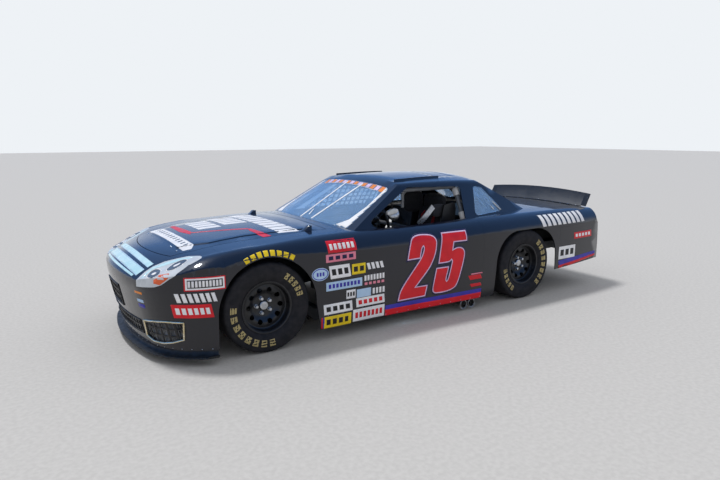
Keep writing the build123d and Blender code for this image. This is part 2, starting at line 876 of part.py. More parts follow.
save(floor_pan.part, "floor_pan")

# Roll cage of bent tubes
cage_front = front_x - 880
cage_top_front = front_x - 1430
cage_rear = front_x - 2130
foot_z = rail_z[1] + 0.3
tube_end = rail_z[1] - 30
foot_y = 720
waist = (735, 800)
top_y = 565
top_z = 1150
bar_heights = (340, 460, 580, 700)
bar_bulge = 850
with BuildPart() as cage:
    add(
        tube_path(
            (
                (cage_rear, foot_y, tube_end),
                (cage_rear, waist[0], waist[1]),
                (cage_rear, top_y, top_z),
                (cage_rear, -top_y, top_z),
                (cage_rear, -waist[0], waist[1]),
                (cage_rear, -foot_y, tube_end),
            ),
            120,
            cage_radius,
        )
    )
    for side in (1, -1):
        add(
            tube_path(
                (
                    (cage_front, side * foot_y, tube_end),
                    (cage_front, side * waist[0], waist[1]),
                    (cage_top_front, side * top_y, top_z - 10),
                    (cage_rear, side * top_y, top_z - 5),
                ),
                120,
                cage_radius,
            )
        )
        for height in bar_heights:
            add(
                tube_path(
                    (
                        (cage_front, side * (foot_y + 5), height),
                        (cage_front - 260, side * bar_bulge, height),
                        (cage_rear + 260, side * bar_bulge, height),
                        (cage_rear, side * (foot_y + 5), height),
                    ),
                    120,
                    cage_radius,
                )
            )
        add(bar((stay_top[0], side * stay_top[1], stay_top[2]), stay_end(side), cage_radius))
    add(bar((cage_top_front, -top_y, top_z - 10), (cage_top_front, top_y, top_z - 10), cage_radius))
    add(bar((cage_front, -waist[0], 785), (cage_front, waist[0], 785), cage_radius))
    add(bar((cage_rear, -waist[0], 640), (cage_rear, waist[0], 640), cage_radius))
    add(bar((cage_rear, waist[0] - 20, 640), (cage_rear, -top_y + 40, top_z), cage_radius))
    add(block((-beyond, beyond), (-beyond, beyond), (0, foot_z)), mode=Mode.SUBTRACT)
    add(block((-beyond, rail_rear), (-beyond, beyond), (0, stay_foot[2])), mode=Mode.SUBTRACT)
save(cage.part, "roll_cage")

# Driver's seat, fixed to the floor
seat_y = 400
seat_half = 235
seat_wall = 16
with BuildPart() as seat:
    with BuildSketch(Plane.XZ.offset(-seat_y - seat_half)):
        Polygon(
            (front_x - 1450, floor_z + 0.3),
            (front_x - 1435, 450),
            (front_x - 1700, 490),
            (front_x - 1880, 650),
            (front_x - 1950, 980),
            (front_x - 2075, 1000),
            (front_x - 2100, 940),
            (front_x - 1990, floor_z + 0.3),
            align=None,
        )
    extrude(amount=2 * seat_half)
    with BuildSketch(Plane.XZ.offset(-seat_y - seat_half + seat_wall)):
        Polygon(
            (front_x - 1400, 335),
            (front_x - 1950, 300),
            (front_x - 2060, 1010),
            (front_x - 1300, 1010),
            align=None,
        )
    extrude(amount=2 * (seat_half - seat_wall), mode=Mode.SUBTRACT)
save(seat.part, "seat")

# Dashboard, steering column and steering wheel
column_slope = 17
wheel_centre = (front_x - 1330, seat_y, 870)
column_axis = Vector(-cos(radians(column_slope)), 0, sin(radians(column_slope)))
column_radius = 20
hub_length = 40
steering_radius = 180
grip_radius = 14
hub_gap = 0.3
column_start = Vector(*wheel_centre) - column_axis * 560
column_end = Vector(*wheel_centre) - column_axis * (hub_length / 2 + 40 + hub_gap)
with BuildPart() as column:
    add(bar(tuple(column_start), tuple(column_end), column_radius))
save(column.part, "steering_column")
dash_x = cage_front - cage_radius - 0.3
dash_y = 640
with BuildPart() as dashboard:
    with BuildSketch(Plane.XZ.offset(-dash_y)):
        Polygon(
            (dash_x, 748),
            (dash_x, 815),
            (dash_x - 90, 805),
            (dash_x - 120, 640),
            (dash_x - 108, 636),
            (dash_x - 80, 748),
            align=None,
        )
    extrude(amount=2 * dash_y)
    add(bar(tuple(column_start), tuple(column_end), column_radius + 0.3), mode=Mode.SUBTRACT)
save(dashboard.part, "dashboard")
with BuildPart() as wheel:
    rim_plane = Plane(origin=wheel_centre, x_dir=(0, 1, 0), z_dir=tuple(column_axis))
    with BuildSketch(Plane(origin=wheel_centre, x_dir=(0, 1, 0), z_dir=rim_plane.y_dir)):
        with Locations((steering_radius, 0)):
            Circle(grip_radius)
    revolve(axis=Axis(wheel_centre, tuple(column_axis)))
    with BuildSketch(rim_plane.offset(-hub_length / 2 - 40)):
        Circle(32)
    extrude(amount=hub_length + 30)
    with BuildSketch(rim_plane.offset(-3)):
        with PolarLocations(0, 3, start_angle=90):
            with Locations((steering_radius / 2, 0)):
                Rectangle(steering_radius, 30)
    extrude(amount=5)
save(wheel.part, "steering_wheel")

# Engine block, gearbox with driveshaft, exhaust pipes and fuel cell
engine_x = (front_x - 640, front_x + 20)
engine_y = 265
engine_z = (snout_z[0] + beam + 0.3, 700)
engine = block(engine_x, (-engine_y, engine_y), engine_z)
save(engine, "engine")
bell_radius = 112
shaft_radius = 38
gearbox_rear = front_x - 1180
pinion_x = rear_x + 170
with BuildPart() as driveline:
    with BuildSketch(Plane.YZ.offset(gearbox_rear)):
        with Locations((0, axle_z)):
            Circle(shaft_radius + 30)
    with BuildSketch(Plane.YZ.offset(engine_x[0] - 0.3)):
        with Locations((0, axle_z)):
            Circle(bell_radius)
    loft()
    add(bar((gearbox_rear, 0, axle_z), (pinion_x + 0.3, 0, axle_z), shaft_radius))
save(driveline.part, "driveline")
pipe_radius = 36
pipe_z = 66
pipe_wall = 2.5
pipe_runs = ((330, front_x - 2075), (430, front_x - 1975))
hanger_x = (front_x - 2085, front_x - 1965)
with BuildPart() as exhaust:
    for run_y, outlet_x in pipe_runs:
        route = (
            (engine_x[0] + 60, run_y, pipe_z),
            (outlet_x + 100, run_y, pipe_z),
            (outlet_x, run_y + 180, pipe_z),
            (outlet_x, tyre_face_y, pipe_z),
        )
        add(tube_path(route, 100, pipe_radius))
    add(block(hanger_x, (rail_y[0] + 10, rail_y[1] - 10), (pipe_z + 20, rail_z[0] - 0.3)))
    for run_y, outlet_x in pipe_runs:
        inner_end = (outlet_x, tyre_face_y - 150, pipe_z)
        add(bar(inner_end, (outlet_x, tyre_face_y + 10, pipe_z), pipe_radius - pipe_wall), mode=Mode.SUBTRACT)
save(exhaust.part, "exhaust")
fuel_cell = block((front_x - 3819.7, front_x - 3340), (-389.7, 389.7), (330, 560))
save(fuel_cell, "fuel_cell")

# Rear axle, knuckles, wheels and tyres
wheel_half = tyre_width / 2
rim_half = 127
flange_radius = 203
barrel_radius = 190
barrel_wall = 6
disc_out = 62
disc_thick = 8
hub_radius = 70
spindle_radius = 30
spindle_gap = 0.3
rotor_radius = 155
rotor = (-30, -6)
lug_circle = 60
lug_count = 5
vent_count = 10
vent_circle = 132
vent_radius = 20
kingpin_y = 690
kingpin_radius = 20
kingpin_z = (228, 476)
stub_inner = 560
spindle_reach = 40
with BuildPart() as axle:
    with BuildSketch(Plane.XZ.offset(stub_inner)):
        with Locations((rear_x, axle_z)):
            Circle(40)
    extrude(amount=-2 * stub_inner)
    for side in (1, -1):
        stub_end = (rear_x, side * (wheel_y + spindle_reach), axle_z)
        add(bar((rear_x, side * stub_inner, axle_z), stub_end, spindle_radius))
    with BuildSketch(Plane.XY.offset(axle_z)):
        with BuildLine():
            Polyline((rear_x, -150), (rear_x + 60, -140), (rear_x + 130, -60), (rear_x + 130, 60))
            Polyline((rear_x + 130, 60), (rear_x + 60, 140), (rear_x, 150), (rear_x, -150))
        make_face()
    revolve(axis=Axis((rear_x, 0, axle_z), (0, 1, 0)))
    add(bar((rear_x + 100, 0, axle_z), (pinion_x, 0, axle_z), shaft_radius + 20))
save(axle.part, "rear_axle")
with BuildPart() as suspension:
    for side in (1, -1):
        for foot, arm_z, spread in ((snout_y[1] + 0.3, 232, 150), (snout_y[1] + 0.3, 452, 55)):
            with BuildSketch(Plane.XY.offset(arm_z)):
                with BuildLine():
                    Polyline(
                        (front_x - spread, side * foot),
                        (front_x - 30, side * kingpin_y),
                        (front_x + 30, side * kingpin_y),
                        (front_x + spread, side * foot),
                        close=True,
                    )
                make_face()
                with Locations((front_x, side * kingpin_y)):
                    Circle(34)
                    Circle(kingpin_radius + spindle_gap, mode=Mode.SUBTRACT)
            extrude(amount=20)
        add(bar((front_x, side * 412, 252), (front_x, side * 412, 452), 44))
        add(
            bar(
                (rear_x, side * (tail_rail_y[0] + 30), axle_z + 40.3),
                (rear_x, side * (tail_rail_y[0] + 30), 469.7),
                50,
            )
        )
save(suspension.part, "suspension")


def knuckle_part(side):
    with BuildPart() as knuckle:
        pin_top = (front_x, side * kingpin_y, kingpin_z[1])
        spindle_end = (front_x, side * (wheel_y + spindle_reach), axle_z)
        add(bar((front_x, side * kingpin_y, kingpin_z[0]), pin_top, kingpin_radius))
        add(block((front_x - 45, front_x + 45), sorted((side * 668, side * 712)), (272.3, 451.7)))
        add(bar((front_x, side * 700, axle_z), spindle_end, spindle_radius))
        add(block((front_x - 150, front_x), sorted((side * 675, side * 700)), (290, 315)))
    return knuckle.part


def tyre_part(x, side):
    plane = Plane(origin=(x, side * wheel_y, axle_z), x_dir=(0, side, 0), z_dir=(side, 0, 0))
    with BuildPart() as tyre:
        with BuildSketch(plane):
            with BuildLine():
                half = wheel_half
                crown = tyre_radius
                bead = rim_half - 6.3
                bead_radius = barrel_radius + 0.3
                ThreePointArc((-half + 24, crown - 3), (0, crown), (half - 24, crown - 3))
                ThreePointArc((half - 24, crown - 3), (half - 7, crown - 12), (half - 3, crown - 32))
                ThreePointArc((half - 3, crown - 32), (half, 275), (bead, flange_radius + 1))
                Polyline((bead, flange_radius + 1), (bead, bead_radius), (rim_half - 24, bead_radius))
                ThreePointArc((rim_half - 24, bead_radius), (half - 16, 275), (half - 20, crown - 32))
                ThreePointArc((half - 20, crown - 32), (half - 26, crown - 20), (half - 36, crown - 16))
                ThreePointArc((half - 36, crown - 16), (0, crown - 13), (36 - half, crown - 16))
                ThreePointArc((36 - half, crown - 16), (26 - half, crown - 20), (20 - half, crown - 32))
                ThreePointArc((20 - half, crown - 32), (16 - half, 275), (24 - rim_half, bead_radius))
                Polyline((24 - rim_half, bead_radius), (-bead, bead_radius), (-bead, flange_radius + 1))
                ThreePointArc((-bead, flange_radius + 1), (-half, 275), (3 - half, crown - 32))
                ThreePointArc((3 - half, crown - 32), (7 - half, crown - 12), (24 - half, crown - 3))
            make_face()
        revolve(axis=Axis((x, side * wheel_y, axle_z), (0, 1, 0)))
    return tyre.part


def rim_part(x, side):
    centre = (x, side * wheel_y, axle_z)
    plane = Plane(origin=centre, x_dir=(0, side, 0), z_dir=(side, 0, 0))
    inner = barrel_radius - barrel_wall
    with BuildPart() as rim:
        with BuildSketch(plane):
            Polygon(
                (-rim_half, flange_radius),
                (6 - rim_half, flange_radius),
                (6 - rim_half, barrel_radius),
                (rim_half - 6, barrel_radius),
                (rim_half - 6, flange_radius),
                (rim_half, flange_radius),
                (rim_half, inner),
                (disc_out + disc_thick, inner),
                (disc_out + disc_thick + 6, vent_circle),
                (disc_out - 14, 88),
                (disc_out - 14, spindle_radius + 8),
                (disc_out - 4, spindle_radius + 6),
                (disc_out - 4, 0),
                (disc_out - 14, 0),
                (disc_out - 14, spindle_radius + spindle_gap),
                (rotor[0] - 12, spindle_radius + spindle_gap),
                (rotor[0] - 12, hub_radius),
                (rotor[0], hub_radius),
                (rotor[0], rotor_radius),
                (rotor[1], rotor_radius),
                (rotor[1], hub_radius),
                (disc_out - 22, hub_radius),
                (disc_out - 22, 92),
                (disc_out + disc_thick - 4, vent_circle + 6),
                (disc_out, inner),
                (-rim_half, inner),
                align=None,
            )
        revolve(axis=Axis(centre, (0, 1, 0)))
        face_y = side * (wheel_y + disc_out - 40)
        face = Plane(origin=(x, face_y, axle_z), x_dir=(1, 0, 0), z_dir=(0, side, 0))
        with BuildSketch(face):
            with PolarLocations(vent_circle - 2, vent_count):
                Circle(vent_radius)
        extrude(amount=70, mode=Mode.SUBTRACT)
        with BuildSketch(face.offset(20)):
            with PolarLocations(lug_circle, lug_count):
                RegularPolygon(13, 6)
        extrude(amount=28)
    return rim.part


for side, word in ((1, "left"), (-1, "right")):
    save(knuckle_part(side), f"knuckle_{word}")
    for x, end in ((front_x, "front"), (rear_x, "rear")):
        save(tyre_part(x, side), f"tyre_{end}_{word}")
        save(rim_part(x, side), f"rim_{end}_{word}")

# Window net in the right-hand window, hung from the cage bar and held at the sill
net_top = (top_y + 1, top_z - 10 - cage_radius - 0.3)
net_foot = (786.2, 850)
net_thick = 5
net_front = (front_x - 1480, front_x - 1180)
net_rear = front_x - 2060
with BuildPart() as net:
    with BuildSketch(Plane.YZ.offset(net_rear)):
        Polygon(
            (-net_top[0], net_top[1]),
            (-net_top[0] + net_thick, net_top[1]),
            (-net_foot[0] + net_thick, net_foot[1]),
            (-net_foot[0], net_foot[1]),
            align=None,
        )
    extrude(amount=net_front[1] - net_rear)
    add(
        side_prism(
            (
                (net_rear, net_foot[1]),
                (net_rear, net_top[1] + 10),
                (net_front[0], net_top[1] + 10),
                (net_front[1], net_foot[1]),
            )
        ),
        mode=Mode.INTERSECT,
    )
save(net.part, "window_net")
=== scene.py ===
import json
import math
from collections import defaultdict

import bmesh
import bpy
from mathutils import Matrix, Vector
from mathutils.bvhtree import BVHTree

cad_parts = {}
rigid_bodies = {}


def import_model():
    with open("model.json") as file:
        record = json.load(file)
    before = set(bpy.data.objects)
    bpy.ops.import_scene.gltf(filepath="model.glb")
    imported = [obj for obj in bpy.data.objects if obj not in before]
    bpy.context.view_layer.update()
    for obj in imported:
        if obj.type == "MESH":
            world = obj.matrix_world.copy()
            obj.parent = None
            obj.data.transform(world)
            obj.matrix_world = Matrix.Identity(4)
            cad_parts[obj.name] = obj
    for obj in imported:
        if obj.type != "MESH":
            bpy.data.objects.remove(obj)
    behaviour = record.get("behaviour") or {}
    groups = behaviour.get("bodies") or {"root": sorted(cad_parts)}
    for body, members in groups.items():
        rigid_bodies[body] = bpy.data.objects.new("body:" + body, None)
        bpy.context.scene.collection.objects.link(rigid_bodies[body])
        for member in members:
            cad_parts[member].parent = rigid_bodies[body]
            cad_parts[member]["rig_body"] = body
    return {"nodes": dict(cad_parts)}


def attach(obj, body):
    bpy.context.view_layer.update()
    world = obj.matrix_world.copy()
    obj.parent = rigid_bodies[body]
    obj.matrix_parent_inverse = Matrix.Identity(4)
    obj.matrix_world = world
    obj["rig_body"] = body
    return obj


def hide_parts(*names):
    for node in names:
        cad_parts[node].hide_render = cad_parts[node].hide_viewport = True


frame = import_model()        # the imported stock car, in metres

nodes = frame["nodes"]
bodyOf = {name: node["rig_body"] for name, node in nodes.items()}
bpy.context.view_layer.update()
scene = bpy.context.scene
mm = 0.001
frontX = 1.561                 # front axle: places along the car are counted from it, back is negative
axles = {"front": frontX, "rear": frontX - 2.794}
wheelY = 0.7675
axleZ = 0.352
side = {"left": 1, "right": -1}


# Materials

def srgb(code):
    parts = [int(code[i:i + 2], 16) / 255 for i in (1, 3, 5)]
    linear = [c / 12.92 if c <= 0.04045 else ((c + 0.055) / 1.055) ** 2.4 for c in parts]
    return (*linear, 1.0)


def addNode(tree, kind, values=None):
    # A value that is a node or a socket is linked, and the others are set
    node = tree.nodes.new(kind)
    for key, value in (values or {}).items():
        if isinstance(value, bpy.types.Node):
            tree.links.new(value.outputs[0], node.inputs[key])
        elif isinstance(value, bpy.types.NodeSocket):
            tree.links.new(value, node.inputs[key])
        elif isinstance(key, str) and hasattr(node, key):
            setattr(node, key, value)
        else:
            node.inputs[key].default_value = value
    return node


def newMaterial(name, **settings):
    material = bpy.data.materials.new(name)
    material.use_nodes = True
    tree = material.node_tree
    shader = tree.nodes["Principled BSDF"]
    for key, value in settings.items():
        shader.inputs[key.replace("_", " ")].default_value = value
    coords = addNode(tree, "ShaderNodeTexCoord").outputs["Object"]
    return material, tree, shader, addNode(tree, "ShaderNodeMapping", {"Vector": coords})


def patches(tree, coords, size, low=0.35, high=0.65):
    # A mask from 0 to 1, in patches of about this size in metres
    noise = addNode(tree, "ShaderNodeTexNoise", {"Scale": 1 / size, "Detail": 3.0, "Vector": coords})
    return addNode(tree, "ShaderNodeMapRange", {"From Min": low, "From Max": high, "Value": noise})


def patchyColour(tree, coords, shader, size, first, second):
    mask = patches(tree, coords, size)
    mixer = addNode(
        tree, "ShaderNodeMix", {"data_type": "RGBA", 0: mask, 6: srgb(first), 7: srgb(second)}
    )
    tree.links.new(mixer.outputs[2], shader.inputs["Base Color"])


def grain(tree, coords, shader, size, height, strength=1.0, socket="Normal"):
    noise = addNode(tree, "ShaderNodeTexNoise", {"Scale": 1 / size, "Detail": 2.0, "Vector": coords})
    bump = addNode(tree, "ShaderNodeBump", {"Distance": height, "Strength": strength, "Height": noise})
    tree.links.new(bump.outputs[0], shader.inputs[socket])


def patchyGloss(tree, coords, shader, size, low, high):
    mask = patches(tree, coords, size)
    spread = addNode(tree, "ShaderNodeMapRange", {"To Min": low, "To Max": high, "Value": mask})
    tree.links.new(spread.outputs[0], shader.inputs["Roughness"])


def bodyPaint():
    # Sprayed acrylic enamel: a near-black base under clear lacquer with faint orange peel
    material, tree, shader, coords = newMaterial(
        "blackEnamel", Roughness=0.35, Coat_Weight=1.0, Coat_Roughness=0.04, Specular_IOR_Level=0.12
    )
    patchyColour(tree, coords, shader, 0.6, "#070814", "#0b0c1a")
    grain(tree, coords, shader, 5 * mm, 0.01 * mm, 0.25, "Coat Normal")
    return material


def slickRubber():
    # Vulcanised slick compound: dull black, scrubbed grey-brown in patches
    material, tree, shader, coords = newMaterial("slickRubber", Roughness=0.75, Specular_IOR_Level=0.3)
    patchyColour(tree, coords, shader, 45 * mm, "#17171a", "#252326")
    grain(tree, coords, shader, 1.6 * mm, 0.25 * mm, 0.7)
    return material


def coatedMetal(name, dark, pale, roughness=0.4, patch=0.09):
    # Powder coat or brushed paint on steel: even colour with worn, slightly paler patches
    material, tree, shader, coords = newMaterial(name)
    patchyColour(tree, coords, shader, patch, dark, pale)
    patchyGloss(tree, coords, shader, patch / 3, roughness - 0.08, roughness + 0.08)
    grain(tree, coords, shader, 2 * mm, 0.03 * mm, 0.3)
    return material


def bareMetal(name, colour, stain, roughness=0.3, patch=0.05):
    # Turned, rolled or plated metal left bare: bright, with duller stains
    material, tree, shader, coords = newMaterial(name, Metallic=1.0)
    patchyColour(tree, coords, shader, patch, colour, stain)
    patchyGloss(tree, coords, shader, patch / 4, roughness - 0.08, roughness + 0.1)
    grain(tree, coords, shader, 1.2 * mm, 0.01 * mm, 0.3)
    return material


def windowSheet():
    # Cast polycarbonate, 3 mm: clear, with a faint blue-grey tint and wiped haze
    material, tree, shader, coords = newMaterial(
        "polycarbonateSheet", Transmission_Weight=0.74, IOR=1.08, Specular_IOR_Level=0.9,
        Coat_Weight=1.0, Coat_Roughness=0.03, Coat_IOR=1.8,
    )
    patchyColour(tree, coords, shader, 0.25, "#b4d4f6", "#a2c8f0")
    patchyGloss(tree, coords, shader, 0.1, 0.0, 0.06)
    return material


def vinyl(name, colour, worn, roughness=0.35):
    # Calendered vinyl film laid on the paint: flat colour, soft gloss, a little faded
    material, tree, shader, coords = newMaterial(
        name, Coat_Weight=0.12, Coat_Roughness=0.1, Specular_IOR_Level=0.3
    )
    patchyColour(tree, coords, shader, 0.12, colour, worn)
    patchyGloss(tree, coords, shader, 0.05, roughness - 0.05, roughness + 0.08)
    grain(tree, coords, shader, 3 * mm, 0.01 * mm, 0.3)
    return material


def webbing(name, colour, worn):
    # Woven nylon strap: dull, with the weave's fine ribs across it, about 2.2 mm apart at this scale
    material, tree, shader, coords = newMaterial(name, Roughness=0.85, Sheen_Weight=0.2)
    patchyColour(tree, coords, shader, 0.03, colour, worn)
    wave = addNode(tree, "ShaderNodeTexWave", {"Scale": 140.0, "Distortion": 1.5, "Vector": coords})
    bump = addNode(
        tree, "ShaderNodeBump", {"Distance": 0.3 * mm, "Strength": 0.6, "Height": wave.outputs[1]}
    )
    tree.links.new(bump.outputs[0], shader.inputs["Normal"])
    return material


paint = bodyPaint()
tyreRubber = slickRubber()
wheelCoat = coatedMetal("blackWheelEnamel", "#0d0d10", "#17171a", 0.36)
frameCoat = coatedMetal("greyChassisPaint", "#3c3e42", "#4c4e52", 0.5)
cageCoat = coatedMetal("greyCagePaint", "#5b5e63", "#6e7176", 0.42)
sheetCoat = coatedMetal("greyFloorPaint", "#303236", "#3e4044", 0.55)
blackPlastic = coatedMetal("blackPolyethylene", "#0b0b0c", "#151516", 0.55)
blackMetal = coatedMetal("satinBlackAluminium", "#0e0e10", "#161618", 0.42)
castIron = coatedMetal("paintedCastIron", "#24272b", "#33363b", 0.55)
springSteel = coatedMetal("yellowSpringCoat", "#b98b1e", "#c89a2c", 0.4)
paleCoat = coatedMetal("paleGreyPowderCoat", "#b9bcc0", "#d3d5d8", 0.4)
zincSteel = bareMetal("zincPlatedSteel", "#c6c8cb", "#a2a5a8", 0.32)
pipeSteel = bareMetal("rolledSteelPipe", "#d2cfc9", "#aaa59d", 0.28)
creamTrim = bareMetal("goldenChromeTrim", "#efe6cf", "#d6c59a", 0.22)
glass = windowSheet()
tapeGrey = vinyl("silverFilm", "#ccd2da", "#bcc3cc", 0.25)
films = {
    "red": vinyl("redVinyl", "#dc1626", "#cc1122"),
    "white": vinyl("whiteVinyl", "#f2f2f5", "#e2e3ea"),
    "lilac": vinyl("lilacVinyl", "#e3c9ea", "#d6bbe0"),
    "night": vinyl("nightBlueVinyl", "#1b1748", "#17143c"),
    "blue": vinyl("violetBlueVinyl", "#3c37b4", "#322d9c"),
    "yellow": vinyl("yellowVinyl", "#f0d21c", "#dfc015"),
    "amber": vinyl("amberFilm", "#e46a3c", "#d65a2e"),
    "pink": vinyl("pinkVinyl", "#e58aa0", "#dd7d95"),
    "sky": vinyl("paleBlueVinyl", "#b9d4f0", "#a8c6e8"),
    "ice": vinyl("iceBlueFilm", "#cbe9f3", "#b4dcea", 0.22),
    "black": vinyl("blackVinyl", "#101014", "#17171b"),
    "tan": vinyl("tanTyrePaint", "#b7a873", "#a5966a", 0.6),
    "orange": vinyl("orangeVinyl", "#ee8d2c", "#e07f22"),
    "smoke": vinyl("smokedBowl", "#5b6470", "#474f5a", 0.2),
    "lamp": vinyl("redLampFilm", "#a3121b", "#8d0f18", 0.2),
}
webBlack = webbing("blackNylonWeb", "#16161a", "#202026")
webRed = webbing("redNylonWeb", "#a51a22", "#8c1820")
webPale = webbing("paleNylonWeb", "#d9dade", "#c6c8cc")


# Helpers for shapes

def newPiece(name, mesh, materials, body):
    for material in materials:
        mesh.materials.append(material)
    piece = bpy.data.objects.new(name, mesh)
    scene.collection.objects.link(piece)
    if body:
        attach(piece, body)
    return piece


def meshFrom(work, name, sharp=None):
    # A smooth mesh; edges that bend by more than sharp, in degrees, stay sharp
    mesh = bpy.data.meshes.new(name)
    work.to_mesh(mesh)
    work.free()
    mesh.shade_smooth()
    if sharp:
        mesh.set_sharp_from_angle(angle=math.radians(sharp))
    return mesh


def finishedMesh(piece):
    graph = bpy.context.evaluated_depsgraph_get()
    return bpy.data.meshes.new_from_object(piece.evaluated_get(graph))


def bake(piece):
    # Turns the piece, its place and its modifiers into a plain mesh at the origin
    mesh = finishedMesh(piece)
    piece.modifiers.clear()
    mesh.transform(piece.matrix_world)
    piece.matrix_world = Matrix()
    piece.data = mesh
    return piece


def addLine(curve, places):
    spline = curve.splines.new("POLY")
    spline.points.add(len(places) - 1)
    for point, place in zip(spline.points, places):
        point.co = (*place, 1)
    return spline


def bakedCurve(name, runs, radius, material, body, flat=None, resolution=2):
    # Tubes of this radius along the runs, or flat straps of flat = (width, thickness)
    curve = bpy.data.curves.new(name, "CURVE")
    curve.dimensions = "3D"
    curve.use_fill_caps = True
    if flat:
        wide, thick = flat[0] / 2, flat[1] / 2
        profile = bpy.data.curves.new(name + "_profile", "CURVE")
        profile.dimensions = "2D"
        corners = ((-wide, -thick, 0), (wide, -thick, 0), (wide, thick, 0), (-wide, thick, 0))
        addLine(profile, corners).use_cyclic_u = True
        curve.bevel_mode = "OBJECT"
        curve.bevel_object = bpy.data.objects.new(name + "_profile", profile)
    else:
        curve.bevel_depth = radius
        curve.bevel_resolution = resolution
    for run in runs:
        addLine(curve, run)
    source = bpy.data.objects.new(name + "_curve", curve)
    scene.collection.objects.link(source)
    mesh = finishedMesh(source)
    mesh.materials.clear()
    if flat:
        bpy.data.objects.remove(curve.bevel_object)
    bpy.data.objects.remove(source)
    mesh.shade_smooth()
    mesh.set_sharp_from_angle(angle=math.radians(40))
    return newPiece(name, mesh, [material], body)


# The panels and the other CAD pieces, merged and smoothed

def smoothCopy(name, angle=28):
    mesh = nodes[name].data.copy()
    work = bmesh.new()
    work.from_mesh(mesh)
    bmesh.ops.remove_doubles(work, verts=work.verts, dist=0.01 * mm)
    work.to_mesh(mesh)
    work.free()
    mesh.shade_smooth()
    mesh.set_sharp_from_angle(angle=math.radians(angle))
    mesh.materials.clear()
    piece = newPiece(name + "_skin", mesh, [finish[name]], None)
    normals = piece.modifiers.new("weighted", "WEIGHTED_NORMAL")
    normals.keep_sharp = True
    bake(piece)
    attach(piece, bodyOf[name])
    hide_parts(name)
    return piece


painted = (
    "nose", "hood", "fender_left", "fender_right", "door_left", "door_right", "quarter_left", "quarter_right",
    "roof", "deck_lid", "rear_bumper", "cowl", "roof_flap_left", "roof_flap_right",
)
finish = {
    **dict.fromkeys(painted, paint),
    "air_dam": blackPlastic,
    "spoiler": blackMetal,
    "headlights": tapeGrey,
    "grilles": blackMetal,
    "windshield": glass,
    "rear_window": glass,
    "quarter_windows": glass,
    "frame_rails": frameCoat,
    "roll_cage": cageCoat,
    "floor_pan": sheetCoat,
    "dashboard": blackMetal,
    "steering_column": frameCoat,
    "steering_wheel": blackPlastic,
    "seat": blackMetal,
    "engine": castIron,
    "driveline": castIron,
    "exhaust": pipeSteel,
    "fuel_cell": blackPlastic,
    "rear_axle": frameCoat,
    "suspension": springSteel,
    "knuckle_left": castIron,
    "knuckle_right": castIron,
}
for end in axles:
    for word in side:
        finish[f"tyre_{end}_{word}"] = tyreRubber
        finish[f"rim_{end}_{word}"] = wheelCoat
skins = {name: smoothCopy(name) for name in finish}
print("panels and pieces smoothed", len(skins))


# Films: coloured vinyl laid on the panels

aims = {
    # two directions that a shape is drawn along, and the way it is pushed on to the body
    "left": (Vector((1, 0, 0)), Vector((0, 0, 1)), Vector((0, -1, 0))),
    "right": (Vector((1, 0, 0)), Vector((0, 0, 1)), Vector((0, 1, 0))),
    "top": (Vector((1, 0, 0)), Vector((0, 1, 0)), Vector((0, 0, -1))),
    "front": (Vector((0, 1, 0)), Vector((0, 0, 1)), Vector((-1, 0, 0))),
    "rear": (Vector((0, 1, 0)), Vector((0, 0, 1)), Vector((1, 0, 0))),
}
lifts = {
    # how far each layer stands off its panel, in millimetres
    "plate": 0.3, "base": 0.35, "tail": 0.4, "bar": 0.5, "mark": 0.6, "bowl": 0.7, "cell": 0.8, "edge": 0.9,
    "rim": 1.0, "amber": 1.2,
}
farOut = 4                     # metres, outside the car on every side


def rayTree(names):
    # The faces of these skins, for rays to meet
    points, faces = [], []
    for name in names:
        mesh = skins[name].data
        base = len(points)
        points += [vert.co.copy() for vert in mesh.vertices]
        faces += [[base + corner for corner in face.vertices] for face in mesh.polygons]
    return BVHTree.FromPolygons(points, faces)


def rounded(outline, passes=2, sharp=50, cut=0.25):
    # Cuts the corners of the gentle bends and keeps the sharp ones
    for _ in range(passes):
        points = []
        count = len(outline)
        for k, (x, y) in enumerate(outline):
            px, py = outline[k - 1]
            nx, ny = outline[(k + 1) % count]
            turn = math.atan2(y - py, x - px) - math.atan2(ny - y, nx - x)
            turn = abs((math.degrees(turn) + 180) % 360 - 180)
            if turn > sharp:
                points.append((x, y))
            else:
                points.append((x + (px - x) * cut, y + (py - y) * cut))
                points.append((x + (nx - x) * cut, y + (ny - y) * cut))
        outline = points
    return outline


def film(name, outlines, colour, lift, aim, tree, body="chassis", nearest=0.5, step=0.014, thick=0.2 * mm):
    # Outlines are in metres along the aim's two directions, cut at every step to follow the panel's curve.
    # A corner that would land less than nearest out from the frame's origin, along the aim, is left out.
    first, second, inward = aims[aim]
    work = bmesh.new()
    for outline in outlines:
        work.faces.new([work.verts.new(first * a + second * b) for a, b in outline])
    work.normal_update()
    bmesh.ops.triangulate(work, faces=work.faces[:])
    for way in (first, second):
        reach = [way.dot(vert.co) for vert in work.verts]
        cut = math.floor(min(reach) / step) + 1
        while cut * step < max(reach):
            parts = work.verts[:] + work.edges[:] + work.faces[:]
            bmesh.ops.bisect_plane(work, geom=parts, plane_co=way * cut * step, plane_no=way, dist=1e-6)
            cut += 1
    missed = []
    for vert in work.verts:
        hit, normal, _, _ = tree.ray_cast(vert.co - inward * farOut, inward)
        if hit is None or -hit.dot(inward) < nearest:
            missed.append(vert)
            continue
        if normal.dot(inward) > 0:
            normal = -normal
        vert.co = hit + normal * (lifts[lift] * mm)
    bmesh.ops.delete(work, geom=missed, context="VERTS")
    work.normal_update()
    for face in work.faces:
        if face.normal.dot(inward) > 0:
            face.normal_flip()
    piece = newPiece(name, meshFrom(work, name), [films[colour]], None)
    wall = piece.modifiers.new("thickness", "SOLIDIFY")
    wall.thickness = thick
    wall.offset = -1
    bake(piece)
    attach(piece, body)
    return piece


